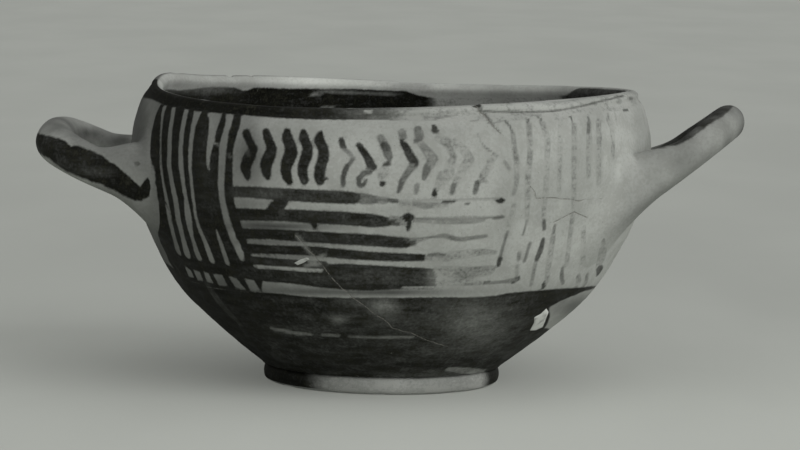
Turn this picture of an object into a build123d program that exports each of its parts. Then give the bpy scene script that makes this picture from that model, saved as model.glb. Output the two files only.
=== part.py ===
from build123d import *
import os
from math import cos, radians, sin, sqrt

# Skyphos: a wheel-thrown two-handled drinking cup, broken and mended.
# Millimetres and degrees. +Z is up, +X is the side of the steeper handle and -Y is the front.
# The origin is the centre of the foot's resting face.

# Driving dimensions of the bowl
cup_height = 76.0
rim_diameter = 125.0
belly_overhang = 4.5
belly_drop = 18.2
wall_thickness = 4.0
floor_thickness = 5.2

# Driving dimensions of the lip, a low band set off from the shoulder by a thin groove
lip_height = 2.1
lip_thickness = 3.4
lip_lean = 0.8
groove_width = 0.8
groove_depth = 0.5

# Driving dimensions of the foot ring
foot_diameter = 61.0
foot_height = 4.6
foot_width = 5.4
foot_edge_wear = 0.6
foot_step = 0.5

# Driving dimensions of the two handles, each a bent roll of clay
left_arm_diameter = 9.8
left_reach = 24.3
left_drop = 25.8
left_tilt = 22.4
left_roll = -1.0
left_spread = 50.0
right_arm_diameter = 8.4
right_reach = 23.15
right_drop = 29.95
right_tilt = 37.9
right_roll = -4.0
right_spread = 58.0
handle_sink = 9.0
flare_growth = 4.8
flare_length = 7.0
tip_spread_share = 0.9
bend_share = 0.86

# Driving dimensions of the mended sherds, each measured on the plane that faces along its angle
right_sherd_angle = -41.0
right_sherd_width = 61.0
right_sherd_depth = 25.3
back_sherd_angle = 108.5
back_sherd_width = 44.8
back_sherd_depth = 21.0

# Driving dimensions of the plaster fills
right_fill_angle = -39.0
right_fill_width = 5.4
right_fill_height = 6.4
right_fill_drop = 55.6
front_fill_angle = -111.7
front_fill_width = 4.6
front_fill_height = 2.6
front_fill_drop = 40.4
front_fill_depth = 1.8

# One overrun for every cut that has to pass a face
overrun = 2.0

# Stations of the wall between its foot and the belly: share of the way out, share of the way up,
# and how many wall thicknesses the inner face stands in from the outer face, measured level
wall_shares = [(0.538, 0.302, 1.45), (0.895, 0.684, 1.08), (1.0, 1.0, 1.0)]

# The outer wall leaves the foot as a shallow arc, through this share of the way out and up
foot_arc_shares = (0.285, 0.143)

# The inner shoulder bulges through this share of the way from the lip to the belly, out and down
shoulder_arc_shares = (0.82, 0.5)

# The inner wall runs into the flat floor at this share of the foot's radius
floor_share = 0.59

# Outlines of the broken pieces: share of the width to each side, share of the depth or height
right_sherd_shares = [(-0.50, 0.0), (-0.42, 0.34), (-0.34, 0.70), (-0.35, 0.94), (0.30, 1.0), (0.50, 0.0)]
back_sherd_shares = [(-0.50, 0.0), (-0.38, 0.72), (-0.05, 1.0), (0.33, 0.62), (0.50, 0.0)]
right_fill_shares = [
    (-0.50, -0.50), (0.06, -0.42), (0.30, 0.06), (0.50, 0.40), (0.34, 0.50), (-0.10, 0.22), (-0.34, -0.10),
]
front_fill_shares = [(-0.50, 0.10), (-0.20, -0.50), (0.26, -0.34), (0.50, 0.12), (0.14, 0.50), (-0.28, 0.44)]

# Sizes that follow from the driving dimensions
rim_radius = rim_diameter / 2
belly_radius = rim_radius + belly_overhang
belly_height = cup_height - belly_drop
lip_base_radius = rim_radius + lip_lean
widest_radius = max(belly_radius, lip_base_radius)
foot_radius = foot_diameter / 2
wall_foot_radius = foot_radius + foot_step
floor_level = foot_height + floor_thickness
groove_top = cup_height - lip_height
groove_bottom = groove_top - groove_width


def wall_point(out_share, up_share):
    """Point at a share of the way out and up from the wall's foot to the belly."""
    radius = wall_foot_radius + (belly_radius - wall_foot_radius) * out_share
    height = foot_height + (belly_height - foot_height) * up_share
    return radius, height


def wall_radius(height):
    """Outer radius of the wall at a height, along straight lines between its stations."""
    path = [(wall_foot_radius, foot_height)] + [wall_point(out, up) for out, up, _ in wall_shares]
    path.append((lip_base_radius, groove_bottom))
    for (r0, z0), (r1, z1) in zip(path, path[1:]):
        if z0 <= height <= z1:
            return r0 + (r1 - r0) * (height - z0) / (z1 - z0)
    return path[-1][0]


def outer_wall_line():
    """Draw the outer face from the edge of the underside to the groove, as arcs that run on smoothly."""
    stations = [wall_point(out, up) for out, up, _ in wall_shares]
    arc = ThreePointArc((wall_foot_radius, foot_height), wall_point(*foot_arc_shares), stations[0])
    for point in stations[1:] + [(lip_base_radius, groove_bottom)]:
        arc = TangentArc(arc @ 1, point, tangent=arc % 1)
    return arc @ 1


def inner_wall_line(start):
    """Draw the inner face from the lip down to the middle of the floor."""
    stations = []
    for out, up, inset in reversed(wall_shares):
        radius, height = wall_point(out, up)
        stations.append((radius - wall_thickness * inset, height))
    belly = stations[0]
    across_share, down_share = shoulder_arc_shares
    bulge = (start.X + (belly[0] - start.X) * across_share, start.Y + (belly[1] - start.Y) * down_share)
    arc = ThreePointArc(start, bulge, belly)
    for point in stations[1:] + [(foot_radius * floor_share, floor_level)]:
        arc = TangentArc(arc @ 1, point, tangent=arc % 1)
    return arc @ 1


# The thrown wall, whole, as it left the wheel
with BuildPart() as thrown_wall:
    with BuildSketch(Plane.XZ):
        with BuildLine():
            underside = Line((0, foot_height), (wall_foot_radius, foot_height))
            wall_top = outer_wall_line()
            groove_middle = (lip_base_radius - groove_depth, (groove_bottom + groove_top) / 2)
            lip_crest = cup_height - lip_thickness / 2
            lip_face = Polyline(wall_top, groove_middle, (lip_base_radius, groove_top), (rim_radius, lip_crest))
            crest = ThreePointArc(
                lip_face @ 1,
                (rim_radius - lip_thickness / 2, cup_height),
                (rim_radius - lip_thickness, lip_crest),
            )
            floor_edge = inner_wall_line(crest @ 1)
            Polyline(floor_edge, (0, floor_level), underside @ 0)
        make_face()
    revolve(axis=Axis.Z)

# Everything inside the outer face, which the handles are trimmed to
with BuildPart() as wall_envelope:
    with BuildSketch(Plane.XZ):
        with BuildLine():
            bottom = Line((0, foot_height), (wall_foot_radius, foot_height))
            top = outer_wall_line()
            Polyline(top, (0, groove_bottom), bottom @ 0)
        make_face()
    revolve(axis=Axis.Z)


def facing_plane(angle, distance):
    """Upright plane that faces out along `angle`, at `distance` from the cup's axis."""
    out = Vector(cos(radians(angle)), sin(radians(angle)), 0)
    along = Vector(-sin(radians(angle)), cos(radians(angle)), 0)
    return Plane(origin=out * distance, x_dir=along, z_dir=out)


def break_prism(angle, start, outline):
    """Straight prism along `angle` that cuts a broken piece out of the wall."""
    with BuildPart() as prism:
        with BuildSketch(facing_plane(angle, start)):
            with BuildLine():
                Polyline(*outline, close=True)
            make_face()
        extrude(amount=widest_radius + overrun - start)
    return prism.part


def rim_sherd_outline(width, depth, shares):
    """Outline that hangs from the rim and passes over it by the overrun."""
    outline = []
    for side_share, depth_share in shares:
        above = overrun if depth_share == 0 else 0
        outline.append((width * side_share, cup_height + above - depth * depth_share))
    return outline


def fill_outline(width, height, level, shares):
    """Outline of a plaster fill about its own centre."""
    return [(width * side_share, level + height * up_share) for side_share, up_share in shares]


right_sherd_prism = break_prism(
    right_sherd_angle, foot_radius, rim_sherd_outline(right_sherd_width, right_sherd_depth, right_sherd_shares)
)
back_sherd_prism = break_prism(
    back_sherd_angle, foot_radius, rim_sherd_outline(back_sherd_width, back_sherd_depth, back_sherd_shares)
)
right_fill_prism = break_prism(
    right_fill_angle, foot_radius,
    fill_outline(right_fill_width, right_fill_height, cup_height - right_fill_drop, right_fill_shares),
)
front_fill_level = cup_height - front_fill_drop
front_fill_prism = break_prism(
    front_fill_angle, wall_radius(front_fill_level) - front_fill_depth,
    fill_outline(front_fill_width, front_fill_height, front_fill_level, front_fill_shares),
)

# Bowl: the thrown wall without the sherds and fills
with BuildPart() as bowl:
    add(thrown_wall.part)
    add(right_sherd_prism, mode=Mode.SUBTRACT)
    add(back_sherd_prism, mode=Mode.SUBTRACT)
    add(right_fill_prism, mode=Mode.SUBTRACT)
    add(front_fill_prism, mode=Mode.SUBTRACT)

# Mended sherds and fills: the same wall, inside each outline
with BuildPart() as wall_sherd_right:
    add(thrown_wall.part)
    add(right_sherd_prism, mode=Mode.INTERSECT)

with BuildPart() as rim_sherd_back:
    add(thrown_wall.part)
    add(back_sherd_prism, mode=Mode.INTERSECT)

with BuildPart() as plaster_fill_right:
    add(thrown_wall.part)
    add(right_fill_prism, mode=Mode.INTERSECT)

with BuildPart() as plaster_fill_front:
    add(thrown_wall.part)
    add(front_fill_prism, mode=Mode.INTERSECT)

# Foot ring: nearly upright outside, with a small step under the wall and worn resting edges
with BuildPart() as foot_ring:
    with BuildSketch(Plane.XZ):
        with BuildLine():
            Polyline(
                (foot_radius - foot_width, 0),
                (foot_radius, 0),
                (foot_radius, foot_height - foot_step),
                (foot_radius - foot_step, foot_height),
                (foot_radius - foot_width - foot_step, foot_height),
                close=True,
            )
        make_face()
    revolve(axis=Axis.Z)
    chamfer(foot_ring.edges().group_by(Axis.Z)[0], foot_edge_wear)


def loop_handle(side, arm_diameter, reach, drop, tilt, roll, spread):
    """Handle on one side (+1 or -1), tilted up and rolled about its reach, its arms `spread` apart at the wall."""
    arm_radius = arm_diameter / 2
    flare_radius = arm_radius + flare_growth / 2
    half_spread = spread / 2
    root_height = cup_height - drop
    root_reach = sqrt(wall_radius(root_height) ** 2 - half_spread**2)
    outward = Vector(side * cos(radians(tilt)), 0, sin(radians(tilt)))
    upward = Vector(-side * sin(radians(tilt)), 0, cos(radians(tilt)))
    rolled = upward * cos(radians(roll)) - Vector(0, 1, 0) * sin(radians(roll))
    plane = Plane(origin=(side * root_reach, 0, root_height), x_dir=outward, z_dir=rolled)
    tip = (belly_radius + reach - arm_radius - root_reach) / cos(radians(tilt))
    half_tip = half_spread * tip_spread_share
    bend_radius = min(half_tip, tip) * bend_share
    with BuildPart() as handle:
        with BuildLine(plane) as route:
            FilletPolyline(
                (-handle_sink, -half_spread), (tip, -half_tip), (tip, half_tip), (-handle_sink, half_spread),
                radius=bend_radius,
            )
        with BuildSketch(Plane(origin=route.line @ 0, z_dir=route.line % 0)):
            Circle(arm_radius)
        sweep()
        for end, inward in ((0, 1), (1, -1)):
            start = route.line @ end
            along = (route.line % end) * inward
            with BuildSketch(Plane(origin=start, z_dir=along)):
                Circle(flare_radius)
            with BuildSketch(Plane(origin=start + along * (handle_sink + flare_length), z_dir=along)):
                Circle(arm_radius)
            loft()
        add(wall_envelope.part, mode=Mode.SUBTRACT)
    return handle.part


handle_left = loop_handle(-1, left_arm_diameter, left_reach, left_drop, left_tilt, left_roll, left_spread)
handle_right = loop_handle(1, right_arm_diameter, right_reach, right_drop, right_tilt, right_roll, right_spread)

# Label and write each piece
pieces = {
    "bowl": bowl.part,
    "foot_ring": foot_ring.part,
    "handle_left": handle_left,
    "handle_right": handle_right,
    "wall_sherd_right": wall_sherd_right.part,
    "rim_sherd_back": rim_sherd_back.part,
    "plaster_fill_right": plaster_fill_right.part,
    "plaster_fill_front": plaster_fill_front.part,
}
os.makedirs("parts", exist_ok=True)
for name, piece in pieces.items():
    piece.label = name
    export_step(piece, f"parts/{name}.step")
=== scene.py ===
import math

import bpy
import numpy as np
from mathutils import Matrix, Vector


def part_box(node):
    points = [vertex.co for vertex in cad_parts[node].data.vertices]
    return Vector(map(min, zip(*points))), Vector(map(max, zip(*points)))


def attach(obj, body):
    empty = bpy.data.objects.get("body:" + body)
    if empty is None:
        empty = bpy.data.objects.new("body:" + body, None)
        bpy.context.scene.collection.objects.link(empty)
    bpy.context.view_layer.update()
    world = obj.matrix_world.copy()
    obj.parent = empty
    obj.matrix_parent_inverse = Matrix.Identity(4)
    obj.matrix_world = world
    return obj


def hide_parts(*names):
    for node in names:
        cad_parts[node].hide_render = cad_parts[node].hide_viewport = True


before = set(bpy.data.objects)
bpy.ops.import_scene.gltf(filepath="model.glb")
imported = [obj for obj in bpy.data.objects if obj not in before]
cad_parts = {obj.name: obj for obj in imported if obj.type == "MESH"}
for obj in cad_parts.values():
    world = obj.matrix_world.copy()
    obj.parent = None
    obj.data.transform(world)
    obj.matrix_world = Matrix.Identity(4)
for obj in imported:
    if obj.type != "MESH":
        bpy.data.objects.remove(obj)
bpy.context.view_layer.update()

# A painted clay drinking cup, broken in antiquity and mended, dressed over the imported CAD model.
# Lengths are millimetres until a mesh is written: MM turns them into metres.
# Angles go round the cup's axis from +X, so the front is at -90 degrees.
# Painted marks are given as pixels of the photograph's 800 x 450 frame and carried onto the wall.
# Distances to marks and breaks stop at FAR.
MM = 0.001
FAR = 3.0
FULL_TURN = 2 * np.pi

# The camera, fitted to the photograph's rim, foot and belly
FRAME_WIDTH = 800
FRAME_HEIGHT = 450
CAMERA_DISTANCE = 960.0
CAMERA_HEIGHT = 132.0
CAMERA_LENS = 168.0
CAMERA_ROLL = 1.09
CAMERA_RANGE = (0.01, 60)
SENSOR_WIDTH = 36.0
PIXELS_PER_MM = 3.87
AIM_ACROSS = 4.08
AIM_HEIGHT = 40.23

# How the fired cup leans to its right, and how its rim dips and twists
LEAN = 1.89
RIM_DIP = 1.85
RIM_TWIST = 0.99
RIM_NOD = 0.3
RIM_CANT = -0.4

# Where the rim stands higher or lower than that: degrees round the axis, half-width in degrees, rise
RIM_BUMPS = [(168, 16, 1.75), (-35, 30, -0.25), (42, 26, 0.5)]

# Heights read from the CAD model's bowl and foot ring
RIM_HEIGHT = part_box("bowl")[1].z / MM
FOOT_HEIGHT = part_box("foot_ring")[1].z / MM

# The bowl's profile as radius and height: the underside's edge, the wall, and the lip over its crest
UNDERSIDE_EDGE = [(29.4, 4.5), (30.4, 4.52), (30.9, 4.62)]
OUTER_WALL = [
    (31.1, 4.9), (33.4, 6.7), (36, 8.6), (41, 12.7), (45.8, 16.8), (50.3, 20.8), (54, 25), (57.1, 29.7),
    (59.9, 35), (62.1, 39.4), (64.1, 44.6), (65.8, 50), (66.8, 55.4), (67, 59.6), (66.6, 64.8),
    (65.7, 68.6), (64.9, 70.9),
]
LIP_OUTSIDE = [
    (64.3, 72.1), (63.6, 73.1), (63, 73.6), (62.75, 73.9), (62.85, 74.25), (62.95, 74.6), (62.8, 75.15),
    (62.35, 75.6), (61.7, 75.9), (61, 76),
]
LIP_INSIDE = [(60.4, 75.85), (59.8, 75.4), (59.35, 74.7)]
INNER_WALL = [
    (59.2, 74), (60.4, 71.2), (62, 66), (62.7, 59.5), (61.9, 51), (58.9, 41), (53, 30.5), (44.8, 21),
    (33, 13.4), (18, 10), (7, 9.8), (0.5, 9.8),
]
GROOVE_HEIGHT = 73.9
UNDERSIDE_HEIGHT = 4.5
UNDERSIDE_RADII = [0.5, 4, 8, 12, 16, 20, 24, 27]
WALL_ROUNDING = 6.0

# One radius for the wall and one for the lip, where the curve up the wall makes no difference
WALL_RADIUS = 65.0
LIP_RADIUS = 61.0

# Mesh fineness: columns round the front and back halves, and millimetres between rows
FRONT_COLUMNS = 380
BACK_COLUMNS = 220
WALL_STEP = 0.62
LIP_STEP = 0.4
INNER_STEP = 1.0

# Seeded noise repeats after this many cells along the wall
LATTICE_ROWS = 96

# The search for the place on the wall that a pixel shows: where the wall lies in the frame, and its steps
BELLY_MIDDLE = 391.0
BELLY_HALF = 259.0
FOOT_LEVEL = 380.0
WALL_PIXELS = 295.0
SEARCH_ROUNDS = 14
SEARCH_STEP = 0.002
LEAST_CROSS = 40.0
MOST_TURN = 0.15
MOST_CLIMB = 6.0
SIDE_MARGIN = 0.03


def path_lengths(path):
    """Distance along a path at each of its points."""
    return np.concatenate([[0], np.cumsum(np.linalg.norm(np.diff(path, axis=0), axis=1))])


def resample(path, step):
    """The same path with even points about `step` apart."""
    path = np.array(path, float)
    lengths = path_lengths(path)
    even = np.linspace(0, lengths[-1], max(2, round(lengths[-1] / step) + 1))
    return np.stack([np.interp(even, lengths, path[:, k]) for k in range(path.shape[1])], 1)


def soften(path, step, window):
    """An evenly stepped path with its corners rounded over `window`."""
    path = resample(path, step)
    half = max(1, round(window / step / 2))
    before = 2 * path[0] - path[half:0:-1]
    after = 2 * path[-1] - path[-2:-half - 2:-1]
    padded = np.concatenate([before, path, after])
    weights = np.hanning(2 * half + 3)[1:-1]
    weights /= weights.sum()
    return np.stack([np.convolve(padded[:, k], weights, mode="valid") for k in range(path.shape[1])], 1)


def fill_in(points, step):
    """A path with extra points about `step` apart, so that straight runs stay straight in the photograph."""
    points = np.array(points, float)
    pieces = []
    for start, end in zip(points, points[1:]):
        count = max(1, round(np.hypot(*(end - start)[:2]) / step))
        pieces.append(start + (end - start) * np.linspace(0, 1, count, endpoint=False)[:, None])
    return np.concatenate(pieces + [points[-1:]])


def unit(vectors):
    """The same vectors, each of length 1."""
    return vectors / np.linalg.norm(vectors, axis=-1, keepdims=True)


def smooth_step(values, start, end):
    """0 before start, 1 after end, smooth between."""
    share = np.clip((values - start) / (end - start), 0, 1)
    return share * share * (3 - 2 * share)


def smooth_drop(values, start, end):
    """1 before start, 0 after end, smooth between."""
    return smooth_step(-values, -end, -start)


def within(values, start, full, fading, end):
    """1 from `full` to `fading`, and 0 before start and after end."""
    return smooth_step(values, start, full) * smooth_drop(values, fading, end)


def bell(values, middle, half_width):
    """1 at the middle, fading smoothly to both sides."""
    return np.exp(-(((values - middle) / half_width) ** 2))


def blot(pixels, x, y, half_width, half_height):
    """1 at a pixel, fading smoothly around it."""
    return np.exp(-(((pixels[..., 0] - x) / half_width) ** 2) - ((pixels[..., 1] - y) / half_height) ** 2)


def noise(around, along, cells, cell_length, seed):
    """Smooth seeded values from -1 to 1 that close round the cup."""
    lattice = np.random.default_rng(seed).uniform(-1, 1, (cells, LATTICE_ROWS))
    u = np.mod(around / FULL_TURN, 1.0) * cells
    v = np.mod(along / cell_length, LATTICE_ROWS)
    u0, v0 = np.floor(u).astype(int), np.floor(v).astype(int)
    fu, fv = u - u0, v - v0
    fu, fv = fu * fu * (3 - 2 * fu), fv * fv * (3 - 2 * fv)
    u0, v0 = u0 % cells, v0 % LATTICE_ROWS
    u1, v1 = (u0 + 1) % cells, (v0 + 1) % LATTICE_ROWS
    low = lattice[u0, v0] * (1 - fu) + lattice[u1, v0] * fu
    high = lattice[u0, v1] * (1 - fu) + lattice[u1, v1] * fu
    return low * (1 - fv) + high * fv


def waves(around, along, layers):
    """Sum of noise layers, each an amount, cells round the cup, cell length and seed."""
    return sum(amount * noise(around, along, *layer) for amount, *layer in layers)


def settle(points):
    """The whole cup's small lean and its uneven rim."""
    x, y, z = points[..., 0], points[..., 1], points[..., 2]
    rise = np.clip((z - FOOT_HEIGHT) / (RIM_HEIGHT - FOOT_HEIGHT), 0, 1)
    around = np.arctan2(y, x)
    dip = RIM_DIP * (1 - np.cos(2 * around)) / 2 + RIM_TWIST * np.sin(2 * around)
    dip += RIM_NOD * np.sin(around) + RIM_CANT * np.cos(around)
    for degrees, half_width, bump in RIM_BUMPS:
        away = (np.degrees(around) - degrees + 180) % 360 - 180
        dip -= bump * bell(away, 0, half_width)
    return np.stack([x + LEAN * rise, y, z - dip * rise**3], -1)


def camera_axes():
    """Camera place and its right, up and forward directions."""
    place = np.array([AIM_ACROSS, -CAMERA_DISTANCE, CAMERA_HEIGHT])
    forward = unit(np.array([AIM_ACROSS, 0, AIM_HEIGHT]) - place)
    right = unit(np.cross(forward, (0, 0, 1)))
    up = np.cross(right, forward)
    roll = math.radians(CAMERA_ROLL)
    rolled_right = right * math.cos(roll) + up * math.sin(roll)
    rolled_up = up * math.cos(roll) - right * math.sin(roll)
    return place, rolled_right, rolled_up, forward


def to_photo(points):
    """Pixel of each point in the photograph's frame."""
    place, right, up, forward = camera_axes()
    offset = points - place
    focal = CAMERA_LENS / SENSOR_WIDTH * FRAME_WIDTH
    depth = offset @ forward
    across = FRAME_WIDTH / 2 + focal * (offset @ right) / depth
    down = FRAME_HEIGHT / 2 - focal * (offset @ up) / depth
    return np.stack([across, down], -1)


class Wall:
    """A profile turned round the cup's axis: one side of the bowl's wall, or the foot."""

    def __init__(self, profile):
        self.profile = profile
        self.lengths = path_lengths(profile)
        tangent = unit(np.gradient(profile, axis=0))
        self.normal = np.stack([tangent[:, 1], -tangent[:, 0]], 1)

    def radius(self, along):
        return np.interp(along, self.lengths, self.profile[:, 0])

    def height(self, along):
        return np.interp(along, self.lengths, self.profile[:, 1])

    def at_height(self, height):
        """Distance along the profile at a height."""
        order = np.argsort(self.profile[:, 1], kind="stable")
        return np.interp(height, self.profile[order, 1], self.lengths[order])

    def bare_point(self, around, along, lift=0.0):
        """Point at an angle and a distance along the profile, lifted off the wall."""
        r = self.radius(along) + np.interp(along, self.lengths, self.normal[:, 0]) * lift
        z = self.height(along) + np.interp(along, self.lengths, self.normal[:, 1]) * lift
        return np.stack([r * np.cos(around), r * np.sin(around), z], -1)

    def point(self, around, along, lift=0.0):
        """The same point on the leaning cup."""
        return settle(self.bare_point(around, along, lift))


wall_rows = soften(OUTER_WALL, WALL_STEP, WALL_ROUNDING)
lip_rows = resample([tuple(wall_rows[-1])] + LIP_OUTSIDE, LIP_STEP)[1:]
OUTSIDE = Wall(np.concatenate([UNDERSIDE_EDGE, wall_rows, lip_rows]))
INSIDE = Wall(np.concatenate([LIP_INSIDE, soften(INNER_WALL, INNER_STEP, WALL_ROUNDING)]))


def on_wall(pixels):
    """Angle and distance along the outer profile of pixels on the front of the wall."""
    pixels = np.array(pixels, float).reshape(-1, 2)
    top = OUTSIDE.lengths[-1]
    around = -np.pi / 2 + np.arcsin(np.clip((pixels[:, 0] - BELLY_MIDDLE) / BELLY_HALF, -0.99, 0.99))
    along = np.interp(FOOT_LEVEL - pixels[:, 1], (0, WALL_PIXELS), (0, top))
    for _ in range(SEARCH_ROUNDS):
        here = to_photo(OUTSIDE.point(around, along))
        by_around = (to_photo(OUTSIDE.point(around + SEARCH_STEP, along)) - here) / SEARCH_STEP
        by_along = (to_photo(OUTSIDE.point(around, along + SEARCH_STEP)) - here) / SEARCH_STEP
        miss = pixels - here
        cross = by_around[:, 0] * by_along[:, 1] - by_around[:, 1] * by_along[:, 0]
        cross = np.where(np.abs(cross) < LEAST_CROSS, -LEAST_CROSS, cross)
        turn = (miss[:, 0] * by_along[:, 1] - miss[:, 1] * by_along[:, 0]) / cross
        climb = (by_around[:, 0] * miss[:, 1] - by_around[:, 1] * miss[:, 0]) / cross
        turned = around + np.clip(turn, -MOST_TURN, MOST_TURN)
        around = np.clip(turned, -np.pi + SIDE_MARGIN, -SIDE_MARGIN)
        along = np.clip(along + np.clip(climb, -MOST_CLIMB, MOST_CLIMB), 0, top)
    return np.stack([around, along], -1)


# Painted marks on the front. A stroke is a list of (x, y, width) in pixels.

# Lower edge of the band on the lip, and upper edge of the dark lower wall
LIP_BAND_EDGE = [
    (143, 97), (152, 99), (166, 105.7), (202, 111.8), (244, 115.3), (279, 118), (313, 119.6), (400, 120.5),
    (473, 121), (511, 121), (557, 119), (600, 114), (626, 109.5), (637, 104.6),
]
LOWER_EDGE = [
    (166, 263), (178, 272), (190, 281), (212, 288), (245, 291.5), (270, 292.5), (309, 296.5), (350, 297.5),
    (400, 297.5), (440, 297), (476, 297), (497, 295.5), (508, 293), (545, 290), (583, 287.4), (600, 285),
    (612, 280),
]

# The group of upright stripes at the left: one dark block, and the reserved lines that part it
STRIPE_BLOCK = [
    (160.5, 104), (157.5, 110), (155, 117), (152.5, 127), (151, 137), (150.3, 150), (149, 166),
    (147.5, 183), (150, 193), (156.5, 199), (156.8, 206), (155.5, 219), (157.5, 232), (160.5, 243),
    (165, 252), (169, 262), (176, 272), (190, 281), (212, 288), (245, 291), (262, 292), (263, 280),
    (257, 268), (252.5, 259), (247, 240), (240, 219), (235, 203), (233, 190), (232.8, 170), (233.3, 150),
    (236.7, 137), (240.7, 123), (242.5, 113), (210, 108), (180, 104),
]
STRIPE_GAPS = [
    [(164.5, 106, 3), (162.4, 115, 2.6), (160.9, 130, 2), (160.3, 150, 1.8), (160.9, 166, 2.6),
        (163.3, 183, 2.6), (166.5, 200, 3.5), (169.6, 219, 4), (174.2, 238, 3.4), (178, 251, 4)],
    [(153.8, 161, 1.2), (154.5, 168, 2.8), (154.8, 183, 2.7), (157, 194, 2), (159, 202, 1)],
    [(174, 106, 3), (172.6, 114, 3.6), (170.2, 130, 4.2), (169.3, 150, 4.5), (169, 166, 4.8),
        (172, 183, 4.5), (175.5, 200, 5), (178.3, 219, 5), (183, 238, 4), (187, 254, 5)],
    [(187, 108, 3.4), (185.4, 114, 4.4), (182.2, 130, 4.6), (180.5, 150, 4.6), (181, 166, 5.5),
        (183.3, 183, 4), (186, 200, 4.5), (188.5, 218, 6.5), (190, 227, 5), (192.3, 238, 3.2),
        (198.5, 257, 5)],
    [(199, 108, 6), (197, 114, 6.5), (193.5, 125, 5), (191.5, 138, 4.5), (190.5, 150, 4.4),
        (189.8, 166, 3.6), (191.5, 183, 3.6), (193.5, 200, 3.2), (195.5, 215, 3), (199, 227, 3.5),
        (203.9, 238, 4), (212, 260, 5)],
    [(215.3, 112, 14), (215.5, 118, 11), (212.7, 130, 8), (211, 142, 7.5), (209.3, 150, 5.3),
        (208, 163, 3.7), (209.5, 170, 2.2)],
    [(216.7, 230, 1.6), (220, 240, 3.5), (224, 252, 4), (227.3, 262.5, 4.5)],
    [(230.7, 112, 8.5), (229, 123, 6), (226, 132, 6), (223.5, 145, 8), (222.5, 158, 7.5),
        (221.8, 170, 7), (221.3, 183, 6.5), (222.5, 200, 6), (226.7, 219, 6.7), (233.3, 238, 6.7),
        (239.5, 250, 7.5), (242, 258, 5)],
    [(212, 142, 1.6), (218.5, 145, 1.8)],
]

# The row of small reserved slanting marks under the stripes
SLANT_MARKS = [
    [(184.5, 266), (190.5, 270), (194, 277.5), (189, 277)],
    [(193.3, 269.5), (200, 272), (203.5, 281), (198, 280.5)],
    [(204, 271.5), (209, 273.5), (213.5, 283.3), (207, 282)],
    [(213, 273.5), (222, 275), (228.5, 286), (219.5, 285.5)],
    [(228.3, 276), (236.5, 278), (246, 289.5), (236, 287.5)],
    [(244.5, 278.5), (254, 280), (261, 291), (250.5, 290)],
]

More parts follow.
